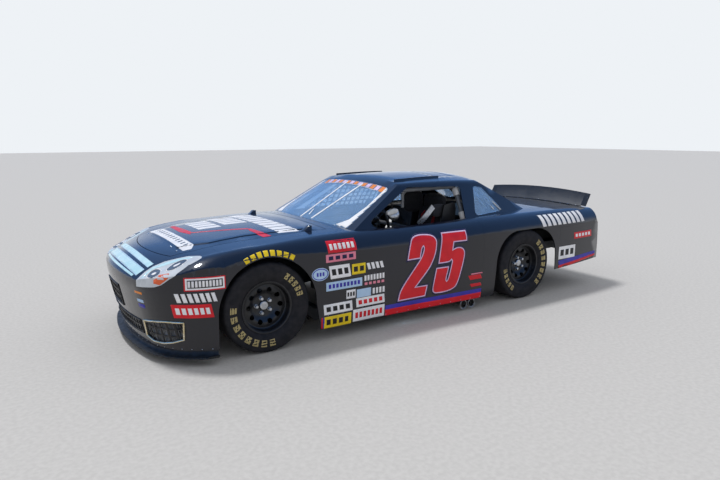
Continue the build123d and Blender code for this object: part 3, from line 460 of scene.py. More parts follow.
def milli(points, flip=None):
    # Millimetres from the front axle to frame metres; flip turns the shape about that place along X
    if flip is not None:
        points = [(2 * flip - x, z) for x, z in points]
    return [(frontX + x * mm, z * mm) for x, z in points]


def slab(x0, x1, z0, z1, lean=0.0):
    # A four-cornered patch, its top moved by lean times its height
    shift = lean * (z1 - z0)
    return milli(((x0, z0), (x1, z0), (x1 + shift, z1), (x0 + shift, z1)))


def sideways(x0, x1, y0, y1, lean=0.0):
    # A patch drawn from above, its second end moved across by lean times its length
    shift = lean * (x1 - x0)
    return milli(((x0, y0), (x0, y1), (x1, y1 + shift), (x1, y0 + shift)))


def bars(x0, x1, z0, z1, count, share=0.62, lean=0.0):
    # A row of short upright bars, each filling this share of its pitch
    pitch = (x1 - x0) / count
    starts = [x0 + pitch * (k + (1 - share) / 2) for k in range(count)]
    return [slab(start, start + pitch * share, z0, z1, lean) for start in starts]


def mirrored(points, sign):
    # A shape drawn from above on the left, or its mirror image on the right
    return milli([(x, sign * y) for x, y in points])


def ellipse(x, z, halfX, halfZ, count):
    turns = [2 * math.pi * k / count for k in range(count)]
    return [(x + halfX * math.cos(turn), z + halfZ * math.sin(turn)) for turn in turns]


def band(outline, inner, outer):
    # Quads along a closed outline, from inner to outer distance beyond it
    count = len(outline)
    area = sum(outline[k - 1][0] * outline[k][1] - outline[k][0] * outline[k - 1][1] for k in range(count))
    sign = 1 if area > 0 else -1
    rails = []
    for k, (x, y) in enumerate(outline):
        px, py = outline[k - 1]
        nx, ny = outline[(k + 1) % count]
        back = Vector((x - px, y - py)).normalized()
        on = Vector((nx - x, ny - y)).normalized()
        normal = Vector((back.y + on.y, -back.x - on.x)).normalized() * sign
        reach = 1 / max(0.45, abs(normal.dot(Vector((on.y, -on.x)))))    # mitred, but never a long spike
        rails.append([(x + normal.x * reach * d, y + normal.y * reach * d) for d in (inner, outer)])
    return [[rails[k - 1][0], rails[k - 1][1], rails[k][1], rails[k][0]] for k in range(count)]


# Side films: the number, plates with rows of bars, and stripes

two = (
    (-1299, 574), (-1315, 646), (-1335, 728), (-1358, 759), (-1406, 775), (-1475, 777), (-1550, 769),
    (-1594, 750), (-1614, 715), (-1613, 670), (-1601, 604), (-1571, 536), (-1530, 470), (-1382, 320),
    (-1515, 320), (-1494, 226), (-1204, 222), (-1222, 316), (-1380, 499), (-1434, 560), (-1462, 604),
    (-1481, 660), (-1469, 681), (-1450, 667), (-1431, 577),
)
five = (
    (-1684, 772), (-1959, 772), (-1962, 686), (-1810, 686), (-1796, 611), (-1847, 630), (-1903, 624),
    (-1935, 594), (-1937, 545), (-1902, 410), (-1865, 297), (-1831, 254), (-1751, 234), (-1623, 231),
    (-1588, 246), (-1579, 275), (-1589, 335), (-1616, 462), (-1751, 462), (-1748, 437), (-1722, 348),
    (-1734, 327), (-1752, 340), (-1782, 449), (-1796, 512), (-1783, 528), (-1762, 507), (-1639, 507),
)
number = {
    "middle": -1585,           # the right door's digits are turned about this place, and read the right way
    "shade": (4 * mm, 17 * mm),                # from and to this far outside the digits' outline
    "edge": (-5 * mm, 5 * mm),
}
stickers = (
    # both edges along the car, low and high edge, in millimetres from the front axle and the ground;
    # colour of plate and marks, number of marks, lean
    (-505, -778, 720, 812, "red", "white", 6, 0.0),
    (-483, -765, 648, 712, "pink", "night", 4, 0.0),
    (-523, -716, 512, 618, "white", "black", 3, 0.15),
    (-725, -858, 520, 608, "yellow", "black", 2, 0.0),
    (-878, -1054, 545, 600, None, "white", 4, 0.3),
    (-481, -824, 417, 488, "sky", "blue", 9, 0.0),
    (-841, -1055, 452, 498, None, "white", 7, 0.0),
    (-841, -1055, 416, 438, None, "pink", 5, 0.0),
    (-670, -759, 325, 398, "white", "black", 3, 0.0),
    (-771, -914, 318, 390, "sky", None, 0, 0.0),
    (-925, -1060, 330, 380, None, "white", 4, 0.0),
    (-465, -734, 222, 308, "white", "black", 4, 0.1),
    (-771, -1060, 237, 314, "white", "red", 5, 0.1),
    (-464, -722, 109, 205, "yellow", "black", 4, 0.0),
    (-739, -1060, 115, 220, "white", "red", 7, 0.0),
    (337, 612, 563, 661, "white", None, 0, 0.0),
    (392, 660, 478, 545, None, "white", 7, 0.3),
    (423, 672, 362, 463, "red", "white", 6, 0.2),
)
quarterMarks = (
    (-3010, -3740, 716, 828, None, "white", 9, 0.25),
    (-3545, -3870, 540, 610, "red", "white", 5, 0.1),
    (-3290, -3570, 345, 480, "white", "black", 3, 0.0),
)
stripes = {
    "blue": (
        ((-1070, 164), (-1070, 202), (-2172, 202), (-2172, 164)),
        ((-3300, 279), (-3295, 331), (-3955, 368), (-3960, 334)),
        ((-468, 112), (-468, 205), (-455, 205), (-455, 112)),
    ),
    "red": (
        ((-1070, 110), (-1070, 164), (-2172, 164), (-2172, 110)),
        ((-3304, 240), (-3300, 279), (-3960, 334), (-3958, 312)),
        ((-452, 112), (-452, 205), (-440, 205), (-440, 112)),
    ),
}
stickerInset = {"height": 0.26, "length": 0.05, "share": 0.66}      # shares of the plate, and of the pitch
framedPlate = {
    # edges as in the stickers; the bars' last values are their number and their share of the pitch
    "edge": (337, 612, 563, 661), "border": 8 * mm,
    "field": (357, 592, 583, 641), "bars": (592, 362, 590, 634, 10, 0.68),
}
ovalPlate = {
    # middle, half the length and the height, and number of corners
    "outer": (-430, 563, 76, 52, 28), "inner": (-430, 563, 70, 46, 28), "border": 7 * mm,
}
ovalBars = (-392, -470, 548, 578, 3)
doorRear = {
    # edges and lean, as in the stickers
    "red": ((-2020, -2172, 300, 345, 0.6), (-2040, -2172, 230, 262, 0.6)),
    "pink": (-2030, -2172, 350, 362, 0.4),
}
# Turns in degrees from ahead of the axle, and radii in millimetres
archRow = {"count": 8, "start": 64, "stop": 122, "inner": 404, "outer": 444}


def arcBlock(start, stop, inner, outer, x=0.0, z=axleZ / mm, parts=4):
    # A block bent about the axle, between two turns in degrees and two radii
    turns = [math.radians(start + (stop - start) * k / parts) for k in range(parts + 1)]
    low = [(x + inner * math.cos(t), z + inner * math.sin(t)) for t in turns]
    high = [(x + outer * math.cos(t), z + outer * math.sin(t)) for t in reversed(turns)]
    return milli(low + high)


def arcRow(count, start, stop, inner, outer, share=0.7, x=0.0):
    pitch = (stop - start) / count
    return [arcBlock(start + pitch * k, start + pitch * (k + share), inner, outer, x) for k in range(count)]


def plateAndMarks(sticker):
    # The sticker's plate, and its row of bars set in from the plate's edges
    x0, x1, z0, z1, plate, mark, count, lean = sticker
    trim = stickerInset["height"] * (z1 - z0) if plate else 0
    along = math.copysign(stickerInset["length"] * abs(x1 - x0), x1 - x0) if plate else 0
    start, stop = x0 + along + lean * trim, x1 - along + lean * trim
    row = bars(start, stop, z0 + trim, z1 - trim, count, stickerInset["share"], lean) if mark else []
    return slab(x0, x1, z0, z1, lean), row


for word in side:
    panels = [f"{part}_{word}" for part in ("fender", "door", "quarter")] + ["nose", "rear_bumper"]
    onSide = {"aim": word, "tree": rayTree(panels)}
    flip = None if word == "left" else number["middle"]
    digits = [rounded(milli(points, flip)) for points in (two, five)]
    shade = [quad for digit in digits for quad in band(digit, *number["shade"])]
    edge = [quad for digit in digits for quad in band(digit, *number["edge"])]
    film(f"number_shade_{word}", shade, "night", "base", **onSide)
    film(f"number_{word}", digits, "red", "mark", **onSide)
    film(f"number_edge_{word}", edge, "lilac", "edge", **onSide)
    plates, marks = defaultdict(list), defaultdict(list)
    for sticker in stickers + quarterMarks:
        patch, row = plateAndMarks(sticker)
        plate, mark = sticker[4:6]
        if plate:
            plates[plate].append(patch)
        if mark:
            marks[mark] += row
    marks["red"] += band(slab(*framedPlate["edge"]), -framedPlate["border"], 0.0)
    marks["black"].append(slab(*framedPlate["field"]))
    film(f"plate_row_{word}", bars(*framedPlate["bars"]), "white", "edge", **onSide)
    plates["sky"].append(milli(ellipse(*ovalPlate["outer"])))
    marks["blue"] += band(milli(ellipse(*ovalPlate["inner"])), -ovalPlate["border"], 0.0)
    marks["blue"] += bars(*ovalBars)
    plates["red"] += [slab(*patch) for patch in doorRear["red"]]
    marks["pink"].append(slab(*doorRear["pink"]))
    for colour, shapes in stripes.items():
        plates[colour] += [milli(points) for points in shapes]
    for colour, shapes in plates.items():
        film(f"plate_{colour}_{word}", shapes, colour, "plate", **onSide)
    for colour, shapes in marks.items():
        film(f"mark_{colour}_{word}", shapes, colour, "mark", **onSide)
    film(f"arch_row_{word}", arcRow(**archRow), "yellow", "mark", **onSide)
print("side films")


# Hood and nose films, drawn from above

hoodTree = rayTree(["hood"])
noseTree = rayTree(["nose"])
whiteBand = ((402, -500), (506, -535), (509, 300), (507, 517), (447, 539), (404, 452))
redRun = (
    ((336, -534), (299, -481), (280, -10), (319, 84), (354, -121)),
    ((312, 34), (288, 14), (98, 116), (118, 142)),
    ((118, 142), (98, 116), (-130, 240), (-110, 272)),
    ((-110, 262), (-140, 262), (-177, 606), (-103, 651), (-98, 352)),
)
bandRow = (428, 470, -440, 28, 74, 12, 0.3)    # read as the letter rows are
letterRows = (
    # both edges along the hood, first bar's place across it, width, pitch and number of bars, and lean
    (204, 14, -520, 100, 122, 4, -0.2),
    (-34, -236, -600, 88, 106, 5, -0.2),
    (-262, -434, -640, 100, 122, 10, -0.2),
)


def rowAcross(x0, x1, first, width, pitch, count, lean):
    # Bars side by side across the car
    starts = [first + pitch * k for k in range(count)]
    return [sideways(x0, x1, start, start + width, lean) for start in starts]


onHood = {"aim": "top", "tree": hoodTree, "body": "hood"}
letterBars = [patch for row in letterRows for patch in rowAcross(*row)]
film("hood_band", [milli(whiteBand)], "white", "base", **onHood)
film("hood_band_marks", rowAcross(*bandRow), "smoke", "mark", **onHood)
film("hood_stripe", [milli(points) for points in redRun], "red", "mark", **onHood)
film("hood_letters", letterBars, "white", "base", **onHood)


def noseBar(front, back, spread, sink, count=12):
    # A bar across the nose, bowed back towards both its ends
    ys = [-spread + 2 * spread * k / count for k in range(count + 1)]
    ahead = [(front - sink * (y / spread) ** 2, y) for y in ys]
    behind = [(back - sink * (y / spread) ** 2, y) for y in reversed(ys)]
    return milli(ahead + behind)


noseBars = {
    "ice": [noseBar(907, 891, 470, 34), noseBar(876, 822, 505, 30), noseBar(788, 746, 505, 26)],
    "sky": [noseBar(880, 876, 505, 30), noseBar(822, 817, 505, 30), noseBar(792, 788, 505, 26)],
}
for colour, shapes in noseBars.items():
    film(f"nose_bars_{colour}", shapes, colour, "bar", "top", noseTree)


def box(y0, y1, z0, z1):
    # A rectangle seen from the front or the rear, in metres
    return [(y0, z0), (y1, z0), (y1, z1), (y0, z1)]


cornerMarks = {
    "orange": box(0.512, 0.606, 0.512, 0.530),
    "sky": box(0.52, 0.60, 0.446, 0.470),
    "blue": box(0.52, 0.60, 0.404, 0.434),
}
for word, sign in side.items():
    for colour, shape in cornerMarks.items():
        outline = [(sign * y, z) for y, z in shape]
        film(f"corner_{colour}_{word}", [outline], colour, "bar", "front", noseTree, step=0.02)

# Lamps: a pale film along the edge, two dark bowls with bright rims and eyes, and an amber patch
lamp = {
    # outlines of the left lamp in millimetres from the front axle, the amber one drawn from the side
    "edge": ((850, 590), (800, 566), (740, 545), (650, 590), (560, 650), (480, 735), (520, 728), (600, 672),
             (690, 615), (745, 578), (792, 592), (835, 612)),
    "amber": ((780, 612), (778, 640), (740, 668), (684, 684), (704, 650), (748, 604)),
    "bowls": ((757, 655, 50, 70), (612, 728, 76, 54)),
    "rim": (-5 * mm, 2 * mm),
    "eye": 0.34,               # share of the bowl
}
onLamp = {"aim": "top", "tree": rayTree(["headlights"]), "step": 0.02}
for word, sign in side.items():
    film(f"lamp_ice_{word}", [mirrored(lamp["edge"], sign)], "ice", "tail", **onLamp)
    dark, rims, eyes = [], [], []
    for x, y, a, b in lamp["bowls"]:
        bowl = ellipse(x, y, a, b, 24)
        eye = [(x + (u - x) * lamp["eye"], y + (v - y) * lamp["eye"]) for u, v in bowl]
        dark.append(mirrored(bowl, sign))
        rims += band(mirrored(bowl, sign), *lamp["rim"])
        eyes.append(mirrored(eye, sign))
    film(f"lamp_amber_{word}", [milli(lamp["amber"])], "amber", "amber", **{**onLamp, "aim": word})
    film(f"lamp_bowls_{word}", dark, "smoke", "bowl", **onLamp)
    film(f"lamp_rims_{word}", rims, "white", "rim", **onLamp)
    film(f"lamp_eyes_{word}", eyes, "white", "rim", **onLamp)
print("hood, nose and lamp films")


# Windshield: a banner of blocks along the top, and white films down its two edges that are a painted
# reflection of a bright wall

onScreen = {"aim": "top", "tree": rayTree(["windshield"]), "nearest": 0.7}
bannerRow = (-1268, -1330, -470, 56, 70, 15, 0.2)
bannerEdge = [sideways(-1262, -1266, -470, 470), sideways(-1322, -1326, -470, 470)]
# painted reflection: a white band down each edge of the windshield, wide at its foot and narrow at its top,
# standing in for a bright wall seen in the curved glass
paintedScreenReflection = (
    (-768, 500), (-791, 537), (-900, 612), (-1082, 612), (-1260, 572), (-1334, 549), (-1334, 640),
    (-1060, 690), (-880, 740), (-780, 740), (-745, 640),
)
bannerBlocks = rowAcross(*bannerRow)
film("banner_blocks", bannerBlocks[::2], "orange", "bar", **onScreen)
film("banner_blocks_pale", bannerBlocks[1::2], "lilac", "bar", **onScreen)
# the painted reflection, as white film down each edge of the windshield
for word, sign in side.items():
    film(f"screen_painted_reflection_{word}", [mirrored(paintedScreenReflection, sign)], "white", "bar", **onScreen)
film("banner_edge", bannerEdge, "white", "bar", **onScreen)

# Tail: red lamp films with brighter cells, a pale line between them and a row of bars, in metres
tail = {
    "lamp": ((0.500, 0.640), (0.800, 0.655), (0.872, 0.690), (0.860, 0.745), (0.780, 0.752), (0.520, 0.735)),
    "cell": ((0.0, 0.665), (0.065, 0.668), (0.065, 0.722), (0.0, 0.718)),
    "cells": (0.545, 0.085, 3),                # first place, pitch and number on each side
    "line": (-0.46, 0.46, 0.676, 0.690),
    "bars": (-0.42, 0.096, 9),
    "bar": (0.07, 0.43, 0.52),                 # width, low and high edge
}
onTail = {"aim": "rear", "tree": rayTree(["rear_bumper"])}
tailLamps, tailCells = [], []
for sign in side.values():
    tailLamps.append([(sign * y, z) for y, z in rounded(tail["lamp"], 2, 70)])
    first, pitch, count = tail["cells"]
    for k in range(count):
        tailCells.append([(sign * (first + pitch * k + y), z) for y, z in tail["cell"]])
film("tail_lamps", tailLamps, "lamp", "tail", **onTail)
film("tail_lamp_cells", tailCells, "red", "cell", **onTail)
film("tail_line", [box(*tail["line"])], "sky", "tail", **onTail)
first, pitch, count = tail["bars"]
width, low, high = tail["bar"]
tailBars = [box(first + pitch * k, first + pitch * k + width, low, high) for k in range(count)]
film("tail_bars", tailBars, "white", "tail", **onTail)

# Tyre sidewalls: rows of tan blocks
tyreRows = {
    # count, start, end, inner and outer edge; the turn is counted from ahead of the axle
    "front": ((8, -100, 14, 250, 302), (5, 122, 170, 250, 300)),
    "rear": ((8, 128, 236, 250, 302), (5, -56, 0, 250, 300)),
}
for end, axleX in axles.items():
    for word in side:
        shapes = []
        for count, start, stop, inner, outer in tyreRows[end]:
            shapes += arcRow(count, start, stop, inner, outer, 0.66, (axleX - frontX) / mm)
        onTyre = {"aim": word, "tree": rayTree([f"tyre_{end}_{word}"]), "body": f"wheel_{end}_{word}"}
        film(f"tyre_rows_{end}_{word}", shapes, "tan", "plate", **onTyre, nearest=0.6, step=0.02)
print("windshield, tail and tyre films")


# Wheels: plated nuts and a hub cap

def turnedRing(work, profile, centre, sign, count=32):
    # Turns a profile of (radius, distance outwards) about a line across the car
    x, y, z = centre
    turns = [2 * math.pi * k / count for k in range(count)]
    rings = [
        [work.verts.new((x + r * math.cos(t), y + sign * out, z + r * math.sin(t))) for t in turns]
        for r, out in profile
    ]
    for low, high in zip(rings, rings[1:]):
        for k in range(count):
            work.faces.new((low[k - 1], low[k], high[k], high[k - 1]))
    work.faces.new(rings[0])
    work.faces.new(reversed(rings[-1]))


wheelTrim = {
    "nuts": 5,
    "circle": 0.060,
    "nut": (
        (0.0165, 0.0482), (0.0165, 0.0525), (0.0142, 0.0530), (0.0142, 0.0705), (0.0118, 0.0728),
        (0.0072, 0.0728),
    ),
    "cap": ((0.034, 0.0485), (0.034, 0.0610), (0.031, 0.0640), (0.026, 0.0648), (0.010, 0.0640)),
}
for end, axleX in axles.items():
    for word, sign in side.items():
        centre = (axleX, sign * wheelY, axleZ)
        work = bmesh.new()
        for k in range(wheelTrim["nuts"]):
            turn = 2 * math.pi * k / wheelTrim["nuts"]
            x = centre[0] + wheelTrim["circle"] * math.cos(turn)
            z = centre[2] + wheelTrim["circle"] * math.sin(turn)
            turnedRing(work, wheelTrim["nut"], (x, centre[1], z), sign, 6)
        turnedRing(work, wheelTrim["cap"], centre, sign)
        bmesh.ops.recalc_face_normals(work, faces=work.faces[:])
        mesh = meshFrom(work, "wheel_nuts", 30)
        newPiece(f"wheel_nuts_{end}_{word}", mesh, [zincSteel], f"wheel_{end}_{word}")
print("wheel nuts and caps")


# Repeats made by node groups

def repeatGroup(name, inputs):
    tree = bpy.data.node_groups.new(name, "GeometryNodeTree")
    tree.interface.new_socket("Geometry", in_out="INPUT", socket_type="NodeSocketGeometry")
    for label, kind, value in inputs:
        socket = tree.interface.new_socket(label, in_out="INPUT", socket_type=kind)
        if value is not None:
            socket.default_value = value
    tree.interface.new_socket("Geometry", in_out="OUTPUT", socket_type="NodeSocketGeometry")
    return tree, addNode(tree, "NodeGroupInput").outputs


def studGroup():
    # Studs with low domes at an even spacing along a line, facing the way that Turn gives
    tree, given = repeatGroup("studRow", (
        ("Spacing", "NodeSocketFloat", 0.05),
        ("Radius", "NodeSocketFloat", 0.004),
        ("Turn", "NodeSocketVector", (0, 0, 0)),
        ("Finish", "NodeSocketMaterial", None),
    ))
    line = addNode(tree, "GeometryNodeMeshToCurve", {"Mesh": given["Geometry"]})
    points = addNode(
        tree, "GeometryNodeResampleCurve", {"mode": "LENGTH", "Curve": line, "Length": given["Spacing"]}
    )
    dome = addNode(tree, "GeometryNodeMeshUVSphere", {"Segments": 14, "Rings": 8, "Radius": given["Radius"]})
    flat = addNode(tree, "GeometryNodeTransform", {"Scale": (1, 1, 0.45), "Geometry": dome})
    put = addNode(
        tree, "GeometryNodeInstanceOnPoints", {"Points": points, "Instance": flat, "Rotation": given["Turn"]}
    )
    real = addNode(tree, "GeometryNodeRealizeInstances", {"Geometry": put})
    smooth = addNode(tree, "GeometryNodeSetShadeSmooth", {"Geometry": real})
    coat = addNode(tree, "GeometryNodeSetMaterial", {"Geometry": smooth, "Material": given["Finish"]})
    addNode(tree, "NodeGroupOutput", {"Geometry": coat})
    return tree


def webGroup():
    # Flat straps along every edge of a sheet of crossing lines
    tree, given = repeatGroup("crossingWeb", (
        ("Width", "NodeSocketFloat", 0.02),
        ("Thickness", "NodeSocketFloat", 0.002),
        ("Finish", "NodeSocketMaterial", None),
    ))
    lines = addNode(tree, "GeometryNodeMeshToCurve", {"Mesh": given["Geometry"]})
    facing = addNode(tree, "GeometryNodeSetCurveNormal", {"mode": "Z_UP", "Curve": lines})
    profile = addNode(
        tree, "GeometryNodeCurvePrimitiveQuadrilateral",
        {"Width": given["Width"], "Height": given["Thickness"]},
    )
    strap = addNode(
        tree, "GeometryNodeCurveToMesh", {"Fill Caps": True, "Curve": facing, "Profile Curve": profile}
    )
    coat = addNode(tree, "GeometryNodeSetMaterial", {"Geometry": strap, "Material": given["Finish"]})
    addNode(tree, "NodeGroupOutput", {"Geometry": coat})
    return tree


def repeated(name, points, edges, group, values, body, matrix=None):
    # The group's repeats along these points and edges, as a plain mesh
    mesh = bpy.data.meshes.new(name)
    mesh.from_pydata(points, edges, [])
    piece = newPiece(name, mesh, [], None)
    modifier = piece.modifiers.new("repeat", "NODES")
    modifier.node_group = group
    for item in group.interface.items_tree:
        if item.in_out == "INPUT" and item.name in values:
            modifier[item.identifier] = values[item.name]
    if matrix:
        piece.matrix_world = matrix
        bpy.context.view_layer.update()
    bake(piece)
    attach(piece, body)
    return piece


studs = studGroup()
webs = webGroup()


def studLine(name, tree, start, stop, count, way, nearest, look, body):
    # Studs where rays cast this way, from even places between start and stop, meet the panels
    places = []
    for k in range(count + 1):
        place = [base + a + (b - a) * k / count for base, a, b in zip((frontX, 0, 0), start, stop)]
        hit = tree.ray_cast(Vector(place), way)[0]
        if hit is not None and -hit.dot(way) > nearest:
            places.append(hit)
    values = dict(zip(("Spacing", "Radius", "Finish", "Turn"), look))
    edges = [(k, k + 1) for k in range(len(places) - 1)]
    return repeated(name, places, edges, studs, values, body)


sideTurn = (math.radians(90), 0, 0)
rivetCast = {
    # how far out the rays start, how many there are, and a hit's least distance from the frame's origin
    "side": (2, 12, 0.3),
    "top": (3, 24, 0.5),
}
rivetRows = {
    # start and end from the front axle, spacing and radius, in metres; the same on both sides
    "rocker": ((-1.08, 0.122), (-2.16, 0.122), 0.12, 0.0045),
    "sill_front": ((-0.50, 0.214), (-1.06, 0.214), 0.14, 0.0035),
    "fender_foot": ((0.44, 0.120), (0.86, 0.120), 0.07, 0.004),
}
topRows = {
    # panels, start and end, spacing, radius, finish and body, drawn from above
    "screen_bolts_foot": ("screen", (-0.728, -0.62), (-0.728, 0.62), 0.075, 0.005, blackMetal, "chassis"),
    "screen_bolts_left": ("screen", (-0.78, 0.700), (-1.30, 0.585), 0.075, 0.005, blackMetal, "chassis"),
    "screen_bolts_right": ("screen", (-0.78, -0.700), (-1.30, -0.585), 0.075, 0.005, blackMetal, "chassis"),
    "spoiler_bolts": ("spoiler", (-3.895, -0.64), (-3.895, 0.64), 0.1, 0.0055, zincSteel, "deck_lid"),
    "hood_pins_left": ("hood", (0.535, 0.30), (0.535, 0.46), 0.155, 0.009, zincSteel, "hood"),
    "hood_pins_right": ("hood", (0.535, -0.30), (0.535, -0.46), 0.155, 0.009, zincSteel, "hood"),
}
topTrees = {
    "screen": rayTree(["windshield", "roof", "cowl"]),
    "spoiler": rayTree(["spoiler"]),
    "hood": hoodTree,
}
away, count, nearest = rivetCast["side"]
for word, sign in side.items():
    tree = rayTree([f"fender_{word}", f"door_{word}", "nose"])
    inward = Vector((0, -sign, 0))
    for name, (low, high, spacing, radius) in rivetRows.items():
        start, stop = (low[0], away * sign, low[1]), (high[0], away * sign, high[1])
        look = (spacing, radius, zincSteel, sideTurn)
        studLine(f"rivets_{name}_{word}", tree, start, stop, count, inward, nearest, look, "chassis")
away, count, nearest = rivetCast["top"]
down = Vector((0, 0, -1))
for name, (panels, start, stop, spacing, radius, material, body) in topRows.items():
    look = (spacing, radius, material, (0, 0, 0))
    studLine(name, topTrees[panels], (*start, away), (*stop, away), count, down, nearest, look, body)
print("rivets")


# Window net of crossing straps, in the plane of its CAD sheet

net = {
    "topY": 0.566, "topZ": 1.1177, "footY": 0.7862, "footZ": 0.850,
    "rear": frontX - 2.060, "front": frontX - 1.180, "frontTop": frontX - 1.480,
    "pitch": 0.064, "width": 0.017, "thickness": 0.0026,
    "margin": 0.012,           # from the sheet's edge to the middle of its outer straps
    "over": 0.0012,            # the upright straps lie this far over the level ones
    "inward": 0.0025,          # from the sheet's top line to the web's plane
    "shortest": 0.03,
}
slope = Vector((0, -(net["footY"] - net["topY"]), net["footZ"] - net["topZ"]))
high = slope.length
down = slope.normalized()
along = Vector((1, 0, 0))
out = along.cross(down)
origin = Vector((net["rear"], -net["topY"] + net["inward"], net["topZ"]))
long = net["front"] - net["rear"]
topLong = net["frontTop"] - net["rear"]
lean = (net["front"] - net["frontTop"]) / high
columns = round(long / net["pitch"])
rows = round(high / net["pitch"])
margin = net["margin"]
netRuns = []
for row in range(rows + 1):
    v = margin + (high - 2 * margin) * row / rows
    netRuns.append(((margin, v, 0.0), (topLong + lean * v - margin, v, 0.0)))
for column in range(columns + 1):
    u = margin + (long - 2 * margin) * column / columns
    top = max(margin, (u - topLong) / lean + margin)
    if high - margin - top > net["shortest"]:
        netRuns.append(((u, top, net["over"]), (u, high - margin, net["over"])))
netRuns.append(((topLong - margin, margin, 0.0), (long - margin, high - margin, 0.0)))
points = [place for run in netRuns for place in run]
edges = [(2 * k, 2 * k + 1) for k in range(len(netRuns))]
netMatrix = Matrix.Translation(origin) @ Matrix((along, down, out)).transposed().to_4x4()
netValues = {"Width": net["width"], "Thickness": net["thickness"], "Finish": webBlack}
netPiece = repeated("window_net_web", points, edges, webs, netValues, "chassis", netMatrix)
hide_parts("window_net")
print("window net")


# Fine wire mesh behind each grille, on the curve of the nose

noseCurve = {
    # in plan, a wide bow in the middle and an arc at each corner, met at the edge
    "length": 0.938, "bow": 2.2, "cornerX": 0.3296, "cornerY": 0.3872, "corner": 0.562, "edge": 0.520,
}
rake = {"height": 0.560, "slope": 0.2}         # the face leans back below this height


def noseSurface(y, z, inset):
    # The place on the nose at this breadth and height, inset behind its face
    if abs(y) < noseCurve["edge"]:
        x = noseCurve["length"] - noseCurve["bow"] + math.sqrt((noseCurve["bow"] - inset) ** 2 - y * y)
    else:
        across = abs(y) - noseCurve["cornerY"]
        x = noseCurve["cornerX"] + math.sqrt((noseCurve["corner"] - inset) ** 2 - across * across)
    return Vector((frontX + x - rake["slope"] * (rake["height"] - z), y, z))


def crossings(outline, value, axis):
    # Where a line at this height or breadth crosses the outline
    found = []
    for k, end in enumerate(outline):
        start = outline[k - 1]
        a, b = start[axis], end[axis]
        if (a - value) * (b - value) < 0:
            share = (value - a) / (b - a)
            found.append(start[1 - axis] + (end[1 - axis] - start[1 - axis]) * share)
    return sorted(found)


mouths = (
    ((-0.186, 0.339), (0.186, 0.339), (0.186, 0.508), (-0.186, 0.508)),
    ((-0.476, 0.184), (0.476, 0.184), (0.476, 0.291), (-0.476, 0.291)),
    ((0.544, 0.304), (0.742, 0.327), (0.842, 0.327), (0.824, 0.196), (0.762, 0.169), (0.692, 0.153),
     (0.600, 0.153), (0.529, 0.181)),
)
wire = {
    "pitch": 0.0125, "radius": 0.0009,
    "inset": 0.0105,           # behind the nose's face
    "part": 0.05,              # a wire that crosses the car bends at every such length
}
outlines = list(mouths) + [tuple((-y, z) for y, z in mouths[2])]
wires = []
for outline in outlines:
    for axis in (0, 1):
        low = min(corner[axis] for corner in outline)
        high = max(corner[axis] for corner in outline)
        count = int((high - low) / wire["pitch"])
        for k in range(1, count):
            value = low + (high - low) * k / count
            ends = crossings(outline, value, axis)
            if len(ends) < 2:
                continue
            start, stop = ends[0], ends[-1]
            parts = max(2, int((stop - start) / wire["part"])) if axis else 2
            others = [start + (stop - start) * j / parts for j in range(parts + 1)]
            places = [(other, value) if axis else (value, other) for other in others]
            wires.append([noseSurface(y, z, wire["inset"]) for y, z in places])
bakedCurve("grille_wires", wires, wire["radius"], zincSteel, "chassis", resolution=0)

# Pale metal edge round the corner intakes, and a black metal one round the middle ones
intakeEdge = {"inset": -0.0035, "parts": 6, "corner": 0.0075, "middle": 0.004}
edgeRuns = []
for outline in outlines:
    run = []
    for k, (y1, z1) in enumerate(outline):
        y0, z0 = outline[k - 1]
        for j in range(intakeEdge["parts"]):
            y, z = y0 + (y1 - y0) * j / intakeEdge["parts"], z0 + (z1 - z0) * j / intakeEdge["parts"]
            run.append(noseSurface(y, z, intakeEdge["inset"]))
    edgeRuns.append(run + run[:1])
bakedCurve("intake_edges", edgeRuns[2:], intakeEdge["corner"], creamTrim, "chassis")
bakedCurve("middle_intake_edges", edgeRuns[:2], intakeEdge["middle"], blackMetal, "chassis")
print("grille wires and edges")


# Straps outside the windshield, and pale straps behind the quarter glass

screenStraps = (
    # both ends along and across the car, and half the width, in millimetres
    (-745, -8, -1300, -54, 11),
    (-762, 179, -1300, 216, 11),
    (-792, 74, -868, 31, 7),
)
strapShapes = [
    milli(((x0, y0 - half), (x0, y0 + half), (x1, y1 + half), (x1, y1 - half)))
    for x0, y0, x1, y1, half in screenStraps
]
film("windshield_straps", strapShapes, "white", "mark", **onScreen, thick=2 * mm)
quarterStrap = {
    # ends of the rearmost strap on the left from the front axle, and how the next ones follow, in metres
    "low": (-2.64, 0.700, 0.895), "top": (-2.44, 0.592, 1.105), "radius": 0.007,
    "lowPitch": 0.10, "topPitch": 0.06, "rise": 0.012, "count": 3,
}
(lowX, lowY, lowZ), (topX, topY, topZ) = quarterStrap["low"], quarterStrap["top"]
for word, sign in side.items():
    strapRuns = []
    for k in range(quarterStrap["count"]):
        low = (frontX + lowX + quarterStrap["lowPitch"] * k, sign * lowY, lowZ + quarterStrap["rise"] * k)
        top = (frontX + topX + quarterStrap["topPitch"] * k, sign * topY, topZ)
        strapRuns.append([low, top])
    bakedCurve(f"quarter_straps_{word}", strapRuns, quarterStrap["radius"], paleCoat, "chassis")


# Cockpit: padded seat and head rests, belts, sleeves on the cage, gauges and mirrors

